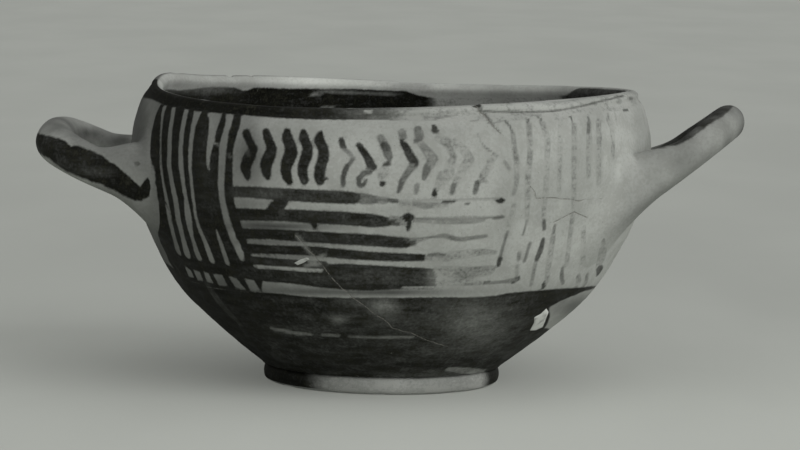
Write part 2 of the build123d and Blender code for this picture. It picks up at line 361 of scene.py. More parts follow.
# Solid chevrons, then the worn ones, each with how much of its paint is left
CHEVRONS = [
    (1, [(246, 133, 7), (249.5, 141, 6), (253.5, 149, 8), (249, 158, 11), (245.5, 167, 10), (247, 174, 7),
        (248, 177.5, 4)]),
    (1, [(265.5, 131.5, 6), (268, 139, 8), (272, 149, 9), (269.5, 156, 11.5), (266, 164, 11.5),
        (266.5, 172, 8.5), (268, 177.5, 4.5)]),
    (1, [(287, 131.5, 6), (286.8, 138, 10), (290.5, 146, 10.5), (291, 154, 12.5), (287.5, 162, 12),
        (285.5, 170, 10), (287, 177, 9), (289.5, 181.5, 6.5)]),
    (1, [(303.3, 132.5, 6), (303.6, 138, 9), (308, 148, 9), (306.5, 156, 10.5), (303, 165, 9.5),
        (302.5, 173, 9), (304.5, 180.5, 7.5)]),
    (1, [(320.5, 133, 4), (318.8, 140, 10), (323.5, 149, 9.5), (323.5, 158, 10), (320.5, 167, 10),
        (319, 175, 10), (320, 180.5, 9)]),
    (0.9, [(322, 179.5, 3), (326.5, 178.6, 2)]),
    (0.94, [(341, 139.5, 4), (342.5, 145, 5.5), (344.5, 148.5, 3.4)]),
    (0.5, [(344.5, 149, 3.4), (350, 154, 3), (354, 158.5, 2.2)]),
    (0.75, [(353.5, 158.5, 2), (350, 163, 3)]),
    (0.9, [(347.5, 165.5, 3.4), (344.8, 171, 4.6), (343, 178, 3)]),
    (0.8, [(343, 178, 3.6), (343.2, 185, 4)]),
    (0.98, [(358.5, 145, 4.6), (364, 152, 6), (369, 160, 7), (371, 166, 8), (374, 167.5, 5)]),
    (0.72, [(370, 172, 4), (363.5, 173, 5), (360, 178, 4)]),
    (0.85, [(358.6, 178, 3.6), (359, 185, 4), (363.5, 186, 3), (366, 180, 2)]),
    (0.55, [(380.6, 137.5, 6), (383, 142, 7)]),
    (0.86, [(383, 143, 6.5), (386.5, 149, 7.5)]),
    (0.72, [(387.5, 153, 8), (389.5, 158, 5.5)]),
    (0.85, [(384.5, 164.5, 3.4), (388.6, 163.6, 4)]),
    (0.16, [(384, 172, 10), (382, 176, 8)]),
    (1, [(382.4, 183.6, 5.4)]),
    (0.5, [(402, 132, 7.5), (403, 137, 7)]),
    (1, [(401.5, 141, 3), (405, 146, 6.5), (409, 152, 5.5)]),
    (0.93, [(407, 152, 5), (410.5, 156, 8), (414.5, 162, 7.5), (415.5, 164.5, 5)]),
    (0.52, [(413, 166, 7), (408, 172, 6), (403.5, 179, 5)]),
    (0.82, [(402, 181, 5), (400, 188, 3.6), (398.2, 192, 1.8)]),
    (0.6, [(418, 129.5, 7.5), (419.5, 136, 8)]),
    (0.8, [(415.5, 141, 2.6), (420.5, 139.5, 3)]),
    (0.48, [(420, 142, 5), (426, 150, 7.5), (432.5, 158, 8.5), (431, 163, 9)]),
    (0.72, [(428, 167, 7), (425.5, 173, 6), (424, 178.5, 3)]),
    (0.62, [(435.6, 157, 2.4), (436.6, 160, 2)]),
    (0.55, [(417, 186, 4.4), (416.2, 193, 2.6)]),
    (0.88, [(434, 126, 4), (435.3, 130, 6.5)]),
    (0.27, [(438, 138, 6), (447, 142, 9)]),
    (0.24, [(450, 148, 6), (454, 157, 5), (450, 166, 9), (449, 173, 10), (441, 182, 9), (438, 187, 6)]),
    (0.5, [(448.6, 141, 1.6), (449.4, 144, 1.2)]),
    (0.45, [(450, 148.5, 1.4), (455.3, 158.5, 2)]),
    (0.4, [(452.8, 171, 1.2), (453, 174, 1.2)]),
    (0.4, [(440.5, 172.4, 1.2), (437, 181, 1.2)]),
    (0.97, [(434.8, 191, 3.4), (434.6, 194.5, 4.6)]),
    (0.19, [(455, 141, 6), (463, 149, 8), (470, 157, 7)]),
    (0.3, [(464, 150, 1.4), (471, 157, 1.6)]),
    (0.27, [(470, 159, 8), (464, 167, 8)]),
    (0.22, [(462, 172, 7), (456, 182, 6)]),
    (0.66, [(454.5, 184, 4.4), (452, 193, 3.4)]),
    (0.3, [(478.5, 134, 1.6), (481, 142, 1.6), (485, 147, 1.6)]),
    (0.5, [(485, 146.6, 2), (492, 152, 1.6), (497, 155.5, 1.4)]),
    (0.25, [(494, 156, 6), (490, 161.5, 6)]),
    (0.2, [(488, 168, 6), (483, 176, 7)]),
    (0.3, [(482, 180, 3), (487, 182, 2)]),
    (0.68, [(477.5, 183, 5), (475, 192.5, 3.4)]),
    (0.5, [(504.8, 161.8, 1.8), (509.6, 169, 1.8)]),
]

# Level bars of the panel, worn away towards the right, each with how much of its paint is left
BARS = [
    (0.97, [(231, 191.5, 10), (250, 192, 11), (275, 194, 12), (297, 195, 12.5), (309, 196, 13),
        (346, 197.6, 13), (353, 198, 12), (360, 199, 7)]),
    (0.93, [(357, 197.6, 9), (366, 198.6, 8), (372, 200, 5)]),
    (0.7, [(362, 198.6, 11), (372, 199.6, 9), (378, 200, 7)]),
    (1, [(285, 196, 11), (281, 202, 14), (275, 208, 14), (271, 213, 12)]),
    (0.5, [(376, 198, 4), (383, 201, 8), (388, 200, 4)]),
    (0.8, [(387.5, 199.6, 3.6), (392, 201, 4.6), (397, 201.2, 4)]),
    (0.42, [(399.7, 201.3, 1.8), (450, 200.2, 1.8), (502, 198.7, 1.8)]),
    (0.9, [(443.6, 202, 3), (454.8, 202, 2.5)]),
    (0.8, [(466, 204, 2.5), (469, 204, 2)]),
    (0.34, [(402, 205, 5), (412, 206.5, 6), (418, 205, 4)]),
    (0.5, [(414, 204, 5), (425, 206, 7), (436, 205, 5)]),
    (0.3, [(434, 206, 5), (447, 205, 4)]),
    (1, [(497, 200, 3.5), (501, 200.6, 6.5), (503.5, 201, 4)]),
    (1, [(236, 214, 11.5), (262, 214.7, 12), (285, 215, 12), (309, 216.8, 13), (346, 218.4, 13.5),
        (368, 220.4, 13.5), (382, 221.5, 11), (389, 222.2, 8)]),
    (0.85, [(386, 220.5, 7), (393, 222.5, 7), (399, 223.5, 5)]),
    (0.35, [(392, 218, 5), (400, 220, 7), (405, 224, 5)]),
    (1, [(313, 221, 6), (315, 226, 6)]),
    (1, [(403, 217.5, 4), (412, 217.5, 5)]),
    (1, [(408, 217, 9), (408.5, 225, 6), (408, 230.5, 3)]),
    (0.4, [(415, 220.5, 3.5), (440, 222, 4.5), (470, 222, 4), (484, 220.5, 2.6)]),
    (0.55, [(415, 218.8, 2), (455, 217.5, 2), (496, 217, 2.4)]),
    (0.7, [(494, 218, 3), (503, 216.8, 3)]),
    (1, [(241, 233.5, 10), (270, 234, 10.5), (313, 236.7, 11.5), (346, 238.8, 11.5), (377, 240.6, 12),
        (398, 242.4, 11), (406, 243, 10)]),
    (0.85, [(404, 241.5, 8), (411, 243, 8), (414, 242, 6)]),
    (0.4, [(412, 240, 5), (422, 239.5, 4)]),
    (0.55, [(416, 239.5, 2.6), (432, 237, 2.4), (444.5, 235.5, 4), (452, 238, 5), (460, 239.5, 4),
        (472, 238, 4), (486, 236, 3)]),
    (1, [(246, 248.2, 9.5), (275, 249.7, 9), (300, 250.3, 9), (313, 251, 10), (346, 254.2, 9.6),
        (377, 256.5, 8.6), (400, 257.2, 8), (423, 257.4, 6.8)]),
    (0.3, [(424, 257.5, 5), (434, 258, 6), (448, 258, 7)]),
    (0.65, [(428, 255, 3), (437, 254.6, 4.6), (444, 256, 5), (447, 256, 4)]),
    (0.22, [(450, 255.5, 8), (470, 253.5, 8), (485, 251.5, 6), (495, 252.5, 4)]),
    (0.5, [(448, 254.6, 1.8), (466, 253, 2)]),
    (0.95, [(250, 260, 8), (275, 262, 8), (300, 263.8, 7.5), (324, 265, 8)]),
    (0.28, [(438, 270, 9), (447, 272, 12), (470, 273, 12), (490, 270, 9)]),
    (0.2, [(440, 281, 9), (460, 282, 7), (480, 283, 5)]),
    (0.5, [(440, 278, 2), (450, 282, 3), (456, 281, 2)]),
    (0.75, [(467, 284, 2.6), (473, 283.6, 2.4)]),
    (0.75, [(484, 282.6, 3), (489, 282.2, 2.6)]),
    (0.55, [(490, 283, 2.4), (505, 281.5, 3), (516, 280, 5)]),
    (0.85, [(513.5, 281.5, 4), (517, 279, 5)]),
]
THICK_BAR = [
    (252, 268), (280, 269.5), (300, 271), (322, 272), (326, 264), (345, 263.5), (372, 265), (400, 266.5),
    (430, 268.2), (435.5, 269.5), (437, 276), (437.5, 284.5), (433, 288.5), (396, 288.8), (366, 290.4),
    (340, 289.2), (309, 285.8), (283, 282.5), (255, 280.5),
]
THICK_BAR_LINES = [
    [(255, 266, 2.4), (280, 268, 2.6), (305, 270.4, 2.6), (321, 270.8, 2)],
    [(403, 287.4, 2), (425, 287.2, 2.2), (443, 287.2, 2)],
]

# Upright strokes at the right, most of them nearly gone, each with how much of its paint is left
WORN_STROKES = [
    (0.35, [(487, 123, 1.6), (497.6, 122.2, 2), (505, 120.6, 2.4)]),
    (0.6, [(505, 121, 3), (510, 126, 3), (513, 134, 3)]),
    (0.3, [(513, 134, 5), (515, 150, 5.4), (516.8, 163, 5.4), (516.8, 182, 5), (513.8, 194, 4)]),
    (0.5, [(512.5, 132, 1.4), (514, 144, 1.2)]),
    (0.4, [(515.6, 158, 1.4), (516, 174, 1.2)]),
    (0.4, [(514, 186, 1.2), (513, 194, 1.4)]),
    (0.2, [(514, 205, 5), (512, 216, 5), (509, 224, 5)]),
    (0.5, [(511, 219, 1.8), (509.4, 223, 2)]),
    (0.6, [(507.5, 232, 2.4), (503, 246, 2.6), (500.5, 256, 3)]),
    (0.9, [(500, 259, 4.5), (498.5, 265, 4)]),
    (0.72, [(523.6, 117.4, 2.2), (527, 117.6, 2), (529, 121.4, 2.4)]),
    (0.4, [(527, 121, 4), (529.6, 126, 3.6)]),
    (0.21, [(529, 124, 6), (530.3, 150, 6), (528, 175, 6), (528, 195, 6), (527, 217, 4)]),
    (0.4, [(531.6, 152, 1.4), (531.4, 160, 1.2)]),
    (0.3, [(527, 166, 1.2), (526, 176, 1.2)]),
    (0.6, [(527.5, 219.5, 1.8), (525, 228, 2), (522.7, 235, 1.8)]),
    (0.6, [(529.9, 243, 2.6), (524.5, 261, 3)]),
    (0.45, [(519, 253, 4), (518.8, 259.5, 4)]),
    (0.3, [(517, 266, 3.5), (516.8, 276, 3)]),
    (0.7, [(533.6, 117, 1.8), (538, 116, 2.2), (541, 119.6, 2.6)]),
    (0.32, [(540, 121, 3.6), (544, 129, 3.2), (547.4, 138, 2.4)]),
    (0.18, [(543, 124, 6), (547.6, 139, 6), (546.8, 163, 5.4), (545.5, 191.8, 5), (543.5, 217, 4)]),
    (0.22, [(545, 185, 1.4), (544, 206, 1.4)]),
    (0.8, [(544, 221, 3), (544.3, 229, 3)]),
    (0.85, [(543, 239.8, 3.6), (540.5, 250, 4.6), (537.2, 258.9, 4)]),
    (0.36, [(536, 262, 3.4), (531.3, 285, 3)]),
    (0.09, [(560.6, 120, 5), (559.8, 153, 5), (558.6, 190, 4)]),
    (0.3, [(554, 119.4, 1.2), (567, 118.8, 1.2)]),
    (0.66, [(554.8, 225.5, 2.2), (552.5, 240, 2.8), (551, 248, 2.6)]),
    (0.25, [(553, 236, 5), (549.5, 262, 5), (547, 282, 4)]),
    (0.85, [(543.8, 284, 3.6), (544, 287, 4)]),
    (0.8, [(566, 116, 1.6), (569, 115, 3), (571.4, 118.4, 2.4), (573, 122, 1.6)]),
    (0.5, [(573.6, 124, 1.4), (574.8, 129, 1.8)]),
    (0.18, [(574.2, 126, 5.4), (573.8, 153, 5.4), (573.8, 190, 5), (573.5, 206, 4)]),
    (0.22, [(573, 184, 1.6), (573, 200, 2)]),
    (0.26, [(573, 213, 4), (569.4, 241.3, 4), (567.2, 265, 3.6)]),
    (0.3, [(572, 218, 1.4), (570, 236, 1.4)]),
    (0.6, [(562.8, 268, 2.2), (561.8, 277, 3.6), (563.6, 283.5, 2.6)]),
    (0.55, [(588, 118, 2.6), (589.4, 122, 2.4)]),
    (0.62, [(588.6, 124, 3.4), (588.6, 130, 3.6), (587.6, 134.6, 2.4)]),
    (0.2, [(588.5, 136, 5), (588, 175, 4.6)]),
    (0.25, [(590.6, 122, 1.2), (591, 150, 1.2)]),
    (0.5, [(597, 119, 1.6), (599, 121, 2.4), (602, 119.4, 1.6)]),
    (0.4, [(599, 126, 2.4), (600, 138, 3)]),
    (0.2, [(598.4, 124, 5), (598.2, 182, 4.6)]),
    (0.35, [(607.6, 113, 2), (608.4, 119, 2)]),
    (0.18, [(608, 120, 4), (612, 128.5, 4.4), (612.6, 156, 4)]),
    (0.3, [(615, 114, 1.6), (616, 120, 1.4)]),
    (0.4, [(606, 225, 1.6), (604.6, 251.6, 1.6)]),
    (0.16, [(604, 240, 5), (601, 262, 5)]),
    (0.12, [(583.6, 228, 4), (583, 262, 4)]),
    (0.45, [(615.6, 199, 3.4), (616.6, 203, 3)]),
    (0.8, [(598.6, 266.5, 3), (600, 271.5, 3.6)]),
    (0.4, [(587.3, 275, 1.8), (585.7, 284, 2)]),
    (0.22, [(578.5, 276, 3), (579, 283, 3.6)]),
    (0.5, [(642.8, 166.5, 3)]),
    (0.75, [(623, 110.3, 2), (628, 109.8, 2)]),
]

# How far the brush spread past a stroke's drawn edge, and how far it ran into the reserved lines
BRUSH_SPREAD = 0.14
GAP_CLOSING = 0.08

# Places on the front worn down to bare clay
BARE_AREAS = [
    [(596, 287.5), (586.4, 290.5), (560, 301.5), (549, 307.5), (549.5, 318), (544.5, 328), (553, 330),
        (572, 314), (586, 303), (600, 290)],
]

# How much of the lip's paint is left, and how worn the wall's paint is, by pixels across
LIP_STRENGTHS = [
    (290, 1), (335, 0.92), (365, 0.78), (388, 0.6), (404, 0.2), (430, 0.14), (450, 0.18), (480, 0.1),
    (600, 0.05), (640, 0.15),
]
WEAR_ACROSS = [(150, 0.10), (330, 0.16), (480, 0.22), (600, 0.22)]

# Black that runs from the left handle's root up beside the stripes
LEFT_ROOT_DARK = [(141, 186), (146, 179), (151.5, 171), (155, 182), (154, 193), (147, 196), (142, 200)]
ROOT_DARK_STRENGTH = 0.97

# Thin worn lines in the dark zones, each with how much of the paint is gone
FADED_LINES = [
    (0.45, [(272, 328, 1.6), (285, 330.5, 2.4), (297, 333, 2.6), (311, 334, 1.6)]),
    (0.45, [(323, 334.5, 1.6), (338, 334.8, 2.2)]),
    (0.35, [(350, 336.4, 1.8), (375, 337.2, 2), (412, 336.6, 1.6)]),
    (0.5, [(297, 236, 3), (303, 243, 4.5), (308, 250, 3), (313, 256, 2)]),
    (0.13, [(206.7, 283.5, 3), (214, 295, 4.4), (223, 306.7, 4), (231, 315, 3.4), (240, 324, 2)]),
    (0.3, [(212, 142, 2), (219, 145.4, 2.2)]),
    (0.4, [(229, 155, 2), (232, 157.6, 1.8)]),
    (0.5, [(449, 369, 3), (466, 370.5, 4), (482, 371.5, 2)]),
    (0.35, [(242.5, 147, 3), (247, 150, 4), (249, 155, 2)]),
    (0.55, [(311, 261.5, 5), (318, 258, 4.4), (325, 254.5, 2)]),
    (0.5, [(305, 266, 2.6), (313, 264.6, 3.4), (320, 264, 2.4)]),
]

# Patches where the paint is more worn, where it is thinner, and where the clay is lighter or darker by stains
# and by painted shade:
# x, y, half-width, half-height, amount
WEAR_PATCHES = [
    (420, 386, 90, 10, 0.2), (445, 102, 60, 22, 0.2), (235, 330, 30, 20, 0.1), (262, 196, 24, 5, 0.14),
    (475, 322, 26, 14, 0.12), (340, 200, 60, 5, 0.06),
]
THIN_PATCHES = [
    (474, 322, 32, 22, 0.37), (384, 307, 14, 8, 0.46), (339, 319.5, 9, 4, 0.4), (400, 330, 80, 20, 0.05),
    (440, 352, 60, 5, 0.06), (262, 195, 26, 5, 0.1), (430, 375, 60, 5, 0.12), (350, 225, 80, 60, 0.045),
    (352, 302, 18, 4, 0.1), (300, 330, 40, 5, 0.06), (375, 276, 66, 9, 0.045), (436, 277, 9, 14, 0.46),
    (204, 160, 6, 34, 0.055), (320, 350, 60, 12, 0.02), (217, 190, 12, 24, 0.03), (262, 193, 24, 5, 0.03),
]
STAINS_AND_PAINTED_SHADE = [
    (142, 140, 7, 50, -0.3), (640, 172, 12, 14, -0.12), (629, 178, 8, 14, -0.08),
    (570, 119, 70, 11, -0.13), (440, 130, 46, 13, -0.1), (565, 245, 44, 24, 0.09), (150, 205, 8, 18, -0.3),
    (247, 156, 14, 32, -0.42), (284, 160, 24, 34, -0.1), (243, 112, 26, 6, -0.2), (470, 232, 50, 34, 0.1),
    (330, 205, 60, 4, 0.1), (300, 227, 50, 3.5, -0.2), (520, 108, 60, 8, 0.12), (620, 215, 16, 30, 0.1),
    (246, 120, 10, 12, -0.1), (262, 204, 28, 6, -0.25), (275, 226, 50, 5, -0.58), (286, 242, 50, 4, -0.46),
    (290, 257, 40, 4, -0.4), (505, 215, 7, 50, -0.1), (612, 235, 14, 40, -0.04), (163.5, 150, 4, 70, -0.1),
    (605, 159, 2.4, 10, 0.14), (619, 173, 2.6, 12, 0.16), (560.6, 204, 2.4, 7, 0.14),
    (255, 150, 12, 30, -0.16), (566, 181, 3, 5, 0.12), (540, 218, 6, 8, -0.14), (593, 165, 2.4, 26, 0.08),
    (584, 152, 20, 34, -0.05), (320, 292, 90, 4, -0.5), (298, 287, 44, 5, -0.26), (255, 222, 20, 5, -0.22),
    (258, 240, 20, 4, -0.18), (262, 255, 20, 4, -0.15), (400, 292, 50, 4, -0.5), (232, 283, 40, 9, -0.36),
    (575, 306, 30, 14, -0.52), (500, 290, 50, 4, -0.12), (631, 200, 14, 24, -0.1),
    (170, 250, 12, 20, -0.2),
]

# The fine turned line under the lip, seen at the right only, and how dark it is
LIP_LINE = [
    (478, 111, 0.6), (486, 111.4, 1.1), (500, 112, 1.3), (520, 112.3, 1.2), (540, 111.7, 1.3),
    (551, 111.2, 1.3), (565, 109.3, 1.3), (581, 106.4, 1.3), (598, 102, 1.3), (615, 97.2, 1.2),
    (623, 95, 0.8),
]
LIP_LINE_DARKNESS = 0.7

# Dark spots and grey traces on the worn part of the lip and along the join, with how dark each is
LIP_STROKES = [
    (0.95, [(475.5, 102.5, 5), (478, 105, 5.5)]),
    (0.6, [(480, 108, 2.6), (486, 116, 1.8), (491, 122, 2)]),
    (0.4, [(488, 120, 2.4), (494, 126, 3.4), (500, 132, 2.6)]),
    (0.1, [(500, 133, 2), (506, 141, 1.6)]),
    (0.42, [(436, 118, 1.6), (444, 116.6, 2.6), (456, 115, 2)]),
    (0.5, [(388, 113, 6), (396, 111.5, 3)]),
    (0.45, [(391, 118, 2), (399, 113.5, 2)]),
    (0.5, [(471, 121, 1.4), (476, 121, 1.6)]),
    (0.55, [(629, 98, 1.6), (633, 98.6, 1.6)]),
    (0.5, [(361, 114, 5), (366, 112, 4)]),
]

# A bare spot on the lip, and how much of its paint is gone
LIP_BARE_SPOT = [(365.5, 111, 2.6), (370.5, 111.6, 3.6)]
BARE_SPOT_LOSS = 0.8

# Where the breaks hardly show: x, y, half-width, half-height in pixels, and how far they seem to lie
QUIET_BREAKS = [
    (608, 198, 40, 26, 0.6), (545, 206, 22, 20, 0.36), (522, 168, 14, 34, 0.7), (505, 141, 9, 12, 0.7),
]

# How the clay darkens towards the left, by pixels across, and at the side behind it
LEFT_SHADE = [
    (138, 0.6), (149, 0.62), (158, 0.44), (165, 0.5), (185, 0.56), (200, 0.58), (212, 0.68), (222, 0.54),
    (240, 0.74), (262, 0.86), (290, 0.98),
]
SIDE_SHADE = 0.35
SIDE_SHADE_ARC = 0.3

# How full the paint is: everywhere on the front, and at least how full on the better kept back
FULL_PAINT = 0.962
BACK_PAINT = 0.55
BACK_BLEND = (0.15, 0.5)
BACK_WEAR = 0.14
BACK_WEAR_CELLS = (13, 9.0, 31)

# The lip's paint stops this far over its crest, and this much lower at the back
LIP_TOP = 1.0
REAR_LIP_DROP = 2.8
REAR_BLEND = (-0.02, 0.06)

# Soft edges of a darkened and of a faded line, in millimetres inside it
DARK_LINE_EDGE = (-0.32, 0.12)
FADED_LINE_EDGE = (-0.35, 0.15)

# Breaks. Those seen on the front are pixels; the rest are degrees round the axis and height.
JOIN_DOWN = [
    (476, 105), (481, 112.5), (489, 121), (497, 129.5), (504, 137), (512, 150), (525, 175), (534, 192),
    (536, 198),
]
JOIN_LEVEL = [(536, 198), (560, 198.6), (574, 200), (589, 199.4), (607, 197.5), (621, 197.5), (632, 198)]
JOIN_UNDER_HANDLE = [(-17, 51.5), (-13, 60), (-13.6, 70), (-14, 76.5)]
BACK_JOIN = [
    (129.4, 76.5), (127.5, 71), (121.5, 63), (113, 57), (106.6, 55), (99, 60), (92.9, 64), (89, 71),
    (87.7, 76.5),
]
HAIRLINE = [
    (297, 236), (305, 246), (314, 256), (323, 266), (331, 276), (342, 288), (353, 297), (363, 304),
    (373, 312), (383, 318), (393, 328), (410, 332), (423, 338), (437, 344), (446, 346),
]
OLD_CRACK = [(554.8, 222), (573.8, 212), (587, 217.8)]
BACK_HAIRLINE = [(60, 66), (63, 58), (58, 49), (62, 40), (57, 31), (49, 25)]

# How rough each break is, with its seed
RIGHT_KINKS = (0.14, 3)
BACK_KINKS = (0.2, 4)
HAIRLINE_KINKS = (0.12, 5)
BACK_HAIRLINE_KINKS = (0.25, 6)

# The plaster fills' outlines
FILL_RIGHT = [
    (547, 307), (549.5, 311), (546, 320), (542.5, 328), (535, 331.5), (528, 332), (533, 323), (533.5, 317),
    (541, 313),
]
FILL_FRONT = [(292.5, 263), (300, 259), (308, 256.6), (311.5, 258.5), (304, 263), (297, 266)]

# Fineness of painted lines, in pixels: between the points of a stroke, over which its corners are rounded,
# and between the points carried onto the wall for marks, breaks and fills
STROKE_STEP = 2.0
STROKE_ROUNDING = 4.0
MARK_STEP = 9.0
BREAK_STEP = 6.0
FILL_STEP = 3.0


def line_distance(around, along, radius, line, half_widths):
    """Distance to a stroke's edge, negative inside it, and the signed distance to its middle line."""
    best = np.full(around.shape, FAR)
    side = np.full(around.shape, FAR)
    for (a0, s0), (a1, s1), w0, w1 in zip(line, line[1:], half_widths, half_widths[1:]):
        dx, dy = (around - a0) * radius, along - s0
        ex, ey = (a1 - a0) * radius, s1 - s0 + 1e-6
        share = np.clip((dx * ex + dy * ey) / (ex * ex + ey * ey), 0, 1)
        gap = np.hypot(dx - share * ex, dy - share * ey)
        edge = gap - (w0 + (w1 - w0) * share)
        side = np.where(edge < best, np.copysign(gap, dx * ey - dy * ex), side)
        best = np.minimum(best, edge)
    return best, side


def area_distance(around, along, radius, corners):
    """Distance to an area's edge, negative inside it."""
    closed = np.concatenate([corners, corners[:1]])
    edge, _ = line_distance(around, along, radius, closed, np.zeros(len(closed)))
    inside = np.zeros(around.shape, bool)
    for (a0, s0), (a1, s1) in zip(closed, closed[1:]):
        crosses = (s0 > along) != (s1 > along)
        meets = a0 + (along - s0) * (a1 - a0) / (s1 - s0 if s1 != s0 else 1e-9)
        inside ^= crosses & (around < meets)
    return np.where(inside, -edge, edge)


def stroke_on_wall(stroke, spread=0.0):
    """A pixel stroke's middle line on the wall and its half-widths in millimetres."""
    path = np.array(stroke, float)
    if len(path) == 1:
        path = np.concatenate([path, path + (0.01, 0.01, 0)])
    if len(path) > 2:
        path = soften(path, STROKE_STEP, STROKE_ROUNDING)
    path = fill_in(path, MARK_STEP)
    heading = np.gradient(path[:, :2], axis=0)
    heading /= np.maximum(np.linalg.norm(heading, axis=1)[:, None], 1e-6)
    across = np.stack([-heading[:, 1], heading[:, 0]], 1) * path[:, 2:] / 2
    middle = on_wall(path[:, :2])
    near, far = on_wall(path[:, :2] - across), on_wall(path[:, :2] + across)
    radius = OUTSIDE.radius(middle[:, 1])
    width = np.hypot((far[:, 0] - near[:, 0]) * radius, far[:, 1] - near[:, 1])
    return middle, width / 2 + spread


def closed_on_wall(corners, step):
    """A closed pixel outline on the wall."""
    return on_wall(fill_in(corners + corners[:1], step)[:-1])


def area_on_wall(corners):
    """A mark that fills a pixel outline on the wall, with no width of its own."""
    return closed_on_wall(corners, MARK_STEP), 0.0


def level_on_wall(pixels):
    """A pixel edge on the wall, in order of angle."""
    line = on_wall(fill_in(pixels, MARK_STEP))
    return line[np.argsort(line[:, 0])]


class Canvas:
    """Paint over the outer wall. The back repeats the front, mirrored, with more of its paint kept."""

    def __init__(self, around, along):
        self.shape = around.shape
        self.around, self.along = -np.abs(around.ravel()), along.ravel()
        self.least = BACK_PAINT * smooth_step(np.sin(around.ravel()), *BACK_BLEND)
        self.front = np.sin(around.ravel()) < 0
        self.radius = OUTSIDE.radius(self.along)
        self.pixels = to_photo(OUTSIDE.point(self.around, self.along))
        self.paint = np.full(self.around.shape, FAR)
        self.strength = np.ones(self.around.shape)
        self.everywhere = np.arange(self.around.size)

    def near(self, line, margin):
        """Indices of the points within a margin of a line's box."""
        low, high = line.min(0), line.max(0)
        turn = margin / self.radius
        inside = (self.around > low[0] - turn) & (self.around < high[0] + turn)
        inside &= (self.along > low[1] - margin) & (self.along < high[1] + margin)
        return np.flatnonzero(inside)

    def lay(self, where, edge, strength):
        """Add paint up to an edge."""
        deeper = edge < self.paint[where]
        strength = np.maximum(strength, self.least[where])
        self.strength[where] = np.where(deeper, strength, self.strength[where])
        self.paint[where] = np.minimum(self.paint[where], edge)

    def clear(self, where, edge, _=1):
        """Take paint away up to an edge."""
        self.paint[where] = np.maximum(self.paint[where], -edge)

    def darken(self, where, edge, amount):
        """Draw a fine dark line over whatever is there."""
        share = smooth_step(-edge, *DARK_LINE_EDGE)
        self.strength[where] = np.maximum(self.strength[where] * (self.paint[where] < 0), amount * share)
        self.paint[where] = np.minimum(self.paint[where], edge)

    def fade(self, where, edge, amount):
        """Thin the paint up to an edge."""
        kept = 1 - amount * smooth_step(-edge, *FADED_LINE_EDGE)
        self.strength[where] = np.minimum(self.strength[where], kept)

    def draw(self, marks):
        """Lay, clear, darken or thin each mark in turn. A bare mark clears the front and spares the back."""
        for kind, amount, line, half_widths in marks:
            where = self.near(line, FAR + np.max(half_widths))
            if kind == "bare":
                where = where[self.front[where]]
            spots = self.around[where], self.along[where], self.radius[where]
            if np.ndim(half_widths):
                edge, _ = line_distance(*spots, line, half_widths)
            else:
                edge = area_distance(*spots, line)
            getattr(self, "clear" if kind == "bare" else kind)(where, edge, amount)

    def level_edge(self, line):
        """Distance along the wall above an edge that runs all the way round."""
        return self.along - np.interp(self.around, line[:, 0], line[:, 1])

    def patches(self, patches):
        """Sum of soft patches given in pixels."""
        return sum(amount * blot(self.pixels, *place) for *place, amount in patches)


def front_marks():
    """Every painted mark of the front, in the order it is laid, cleared or thinned."""
    marks = [("lay", 1.0, *area_on_wall(STRIPE_BLOCK))]
    marks += [("clear", 1.0, *stroke_on_wall(gap, -GAP_CLOSING)) for gap in STRIPE_GAPS]
    marks += [("clear", 1.0, *area_on_wall(mark)) for mark in SLANT_MARKS]
    marks.append(("lay", 1.0, *area_on_wall(THICK_BAR)))
    for spread, strokes in ((0.0, BARS), (BRUSH_SPREAD, CHEVRONS), (0.0, WORN_STROKES)):
        marks += [("lay", strength, *stroke_on_wall(stroke, spread)) for strength, stroke in strokes]
    marks += [("clear", 1.0, *stroke_on_wall(line)) for line in THICK_BAR_LINES]
    marks += [("bare", 1.0, *area_on_wall(corners)) for corners in BARE_AREAS]
    marks.append(("lay", ROOT_DARK_STRENGTH, *area_on_wall(LEFT_ROOT_DARK)))
    marks += [("fade", amount, *stroke_on_wall(line)) for amount, line in FADED_LINES]
    return marks


def lip_marks():
    """The marks that go over the lip's band."""
    strokes = LIP_STROKES + [(LIP_LINE_DARKNESS, LIP_LINE)]
    marks = [("darken", amount, *stroke_on_wall(stroke)) for amount, stroke in strokes]
    return marks + [("fade", BARE_SPOT_LOSS, *stroke_on_wall(LIP_BARE_SPOT))]


FRONT_MARKS = front_marks()
LIP_MARKS = lip_marks()
LIP_LINE_ON_WALL = stroke_on_wall(LIP_LINE)[0]
LOWER_LEVEL = level_on_wall(LOWER_EDGE)
LIP_LEVEL = level_on_wall(LIP_BAND_EDGE)


def paint_outside(around, along):
    """Paint, strength, wear and tone of the outer wall."""
    canvas = Canvas(around, along)
    across = canvas.pixels[:, 0]
    canvas.lay(canvas.everywhere, canvas.level_edge(LOWER_LEVEL), 1.0)
    canvas.draw(FRONT_MARKS)
    canvas.strength *= FULL_PAINT
    lip_strength = np.interp(across, *zip(*LIP_STRENGTHS))
    canvas.lay(canvas.everywhere, -canvas.level_edge(LIP_LEVEL), lip_strength)
    rear = smooth_step(np.sin(around.ravel()), *REAR_BLEND)
    canvas.clear(canvas.everywhere, OUTSIDE.lengths[-1] - canvas.along + LIP_TOP - REAR_LIP_DROP * rear)
    canvas.draw(LIP_MARKS)
    canvas.strength *= 1 - canvas.patches(THIN_PATCHES).clip(0, 0.9)
    wear = np.interp(across, *zip(*WEAR_ACROSS)) + canvas.patches(WEAR_PATCHES)
    flakes = noise(around, along, *BACK_WEAR_CELLS).ravel() - 0.6
    wear += BACK_WEAR * flakes * (canvas.least > 0)
    # The clay's tone: stains, and painted shade towards the left, at the side behind it and round the right
    # handle's root
    tone = (1 + canvas.patches(STAINS_AND_PAINTED_SHADE)) * np.interp(across, *zip(*LEFT_SHADE))
    tone *= 1 - SIDE_SHADE * bell(canvas.around, -np.pi, SIDE_SHADE_ARC)
    return [values.reshape(canvas.shape) for values in (canvas.paint, canvas.strength, wear, tone)]


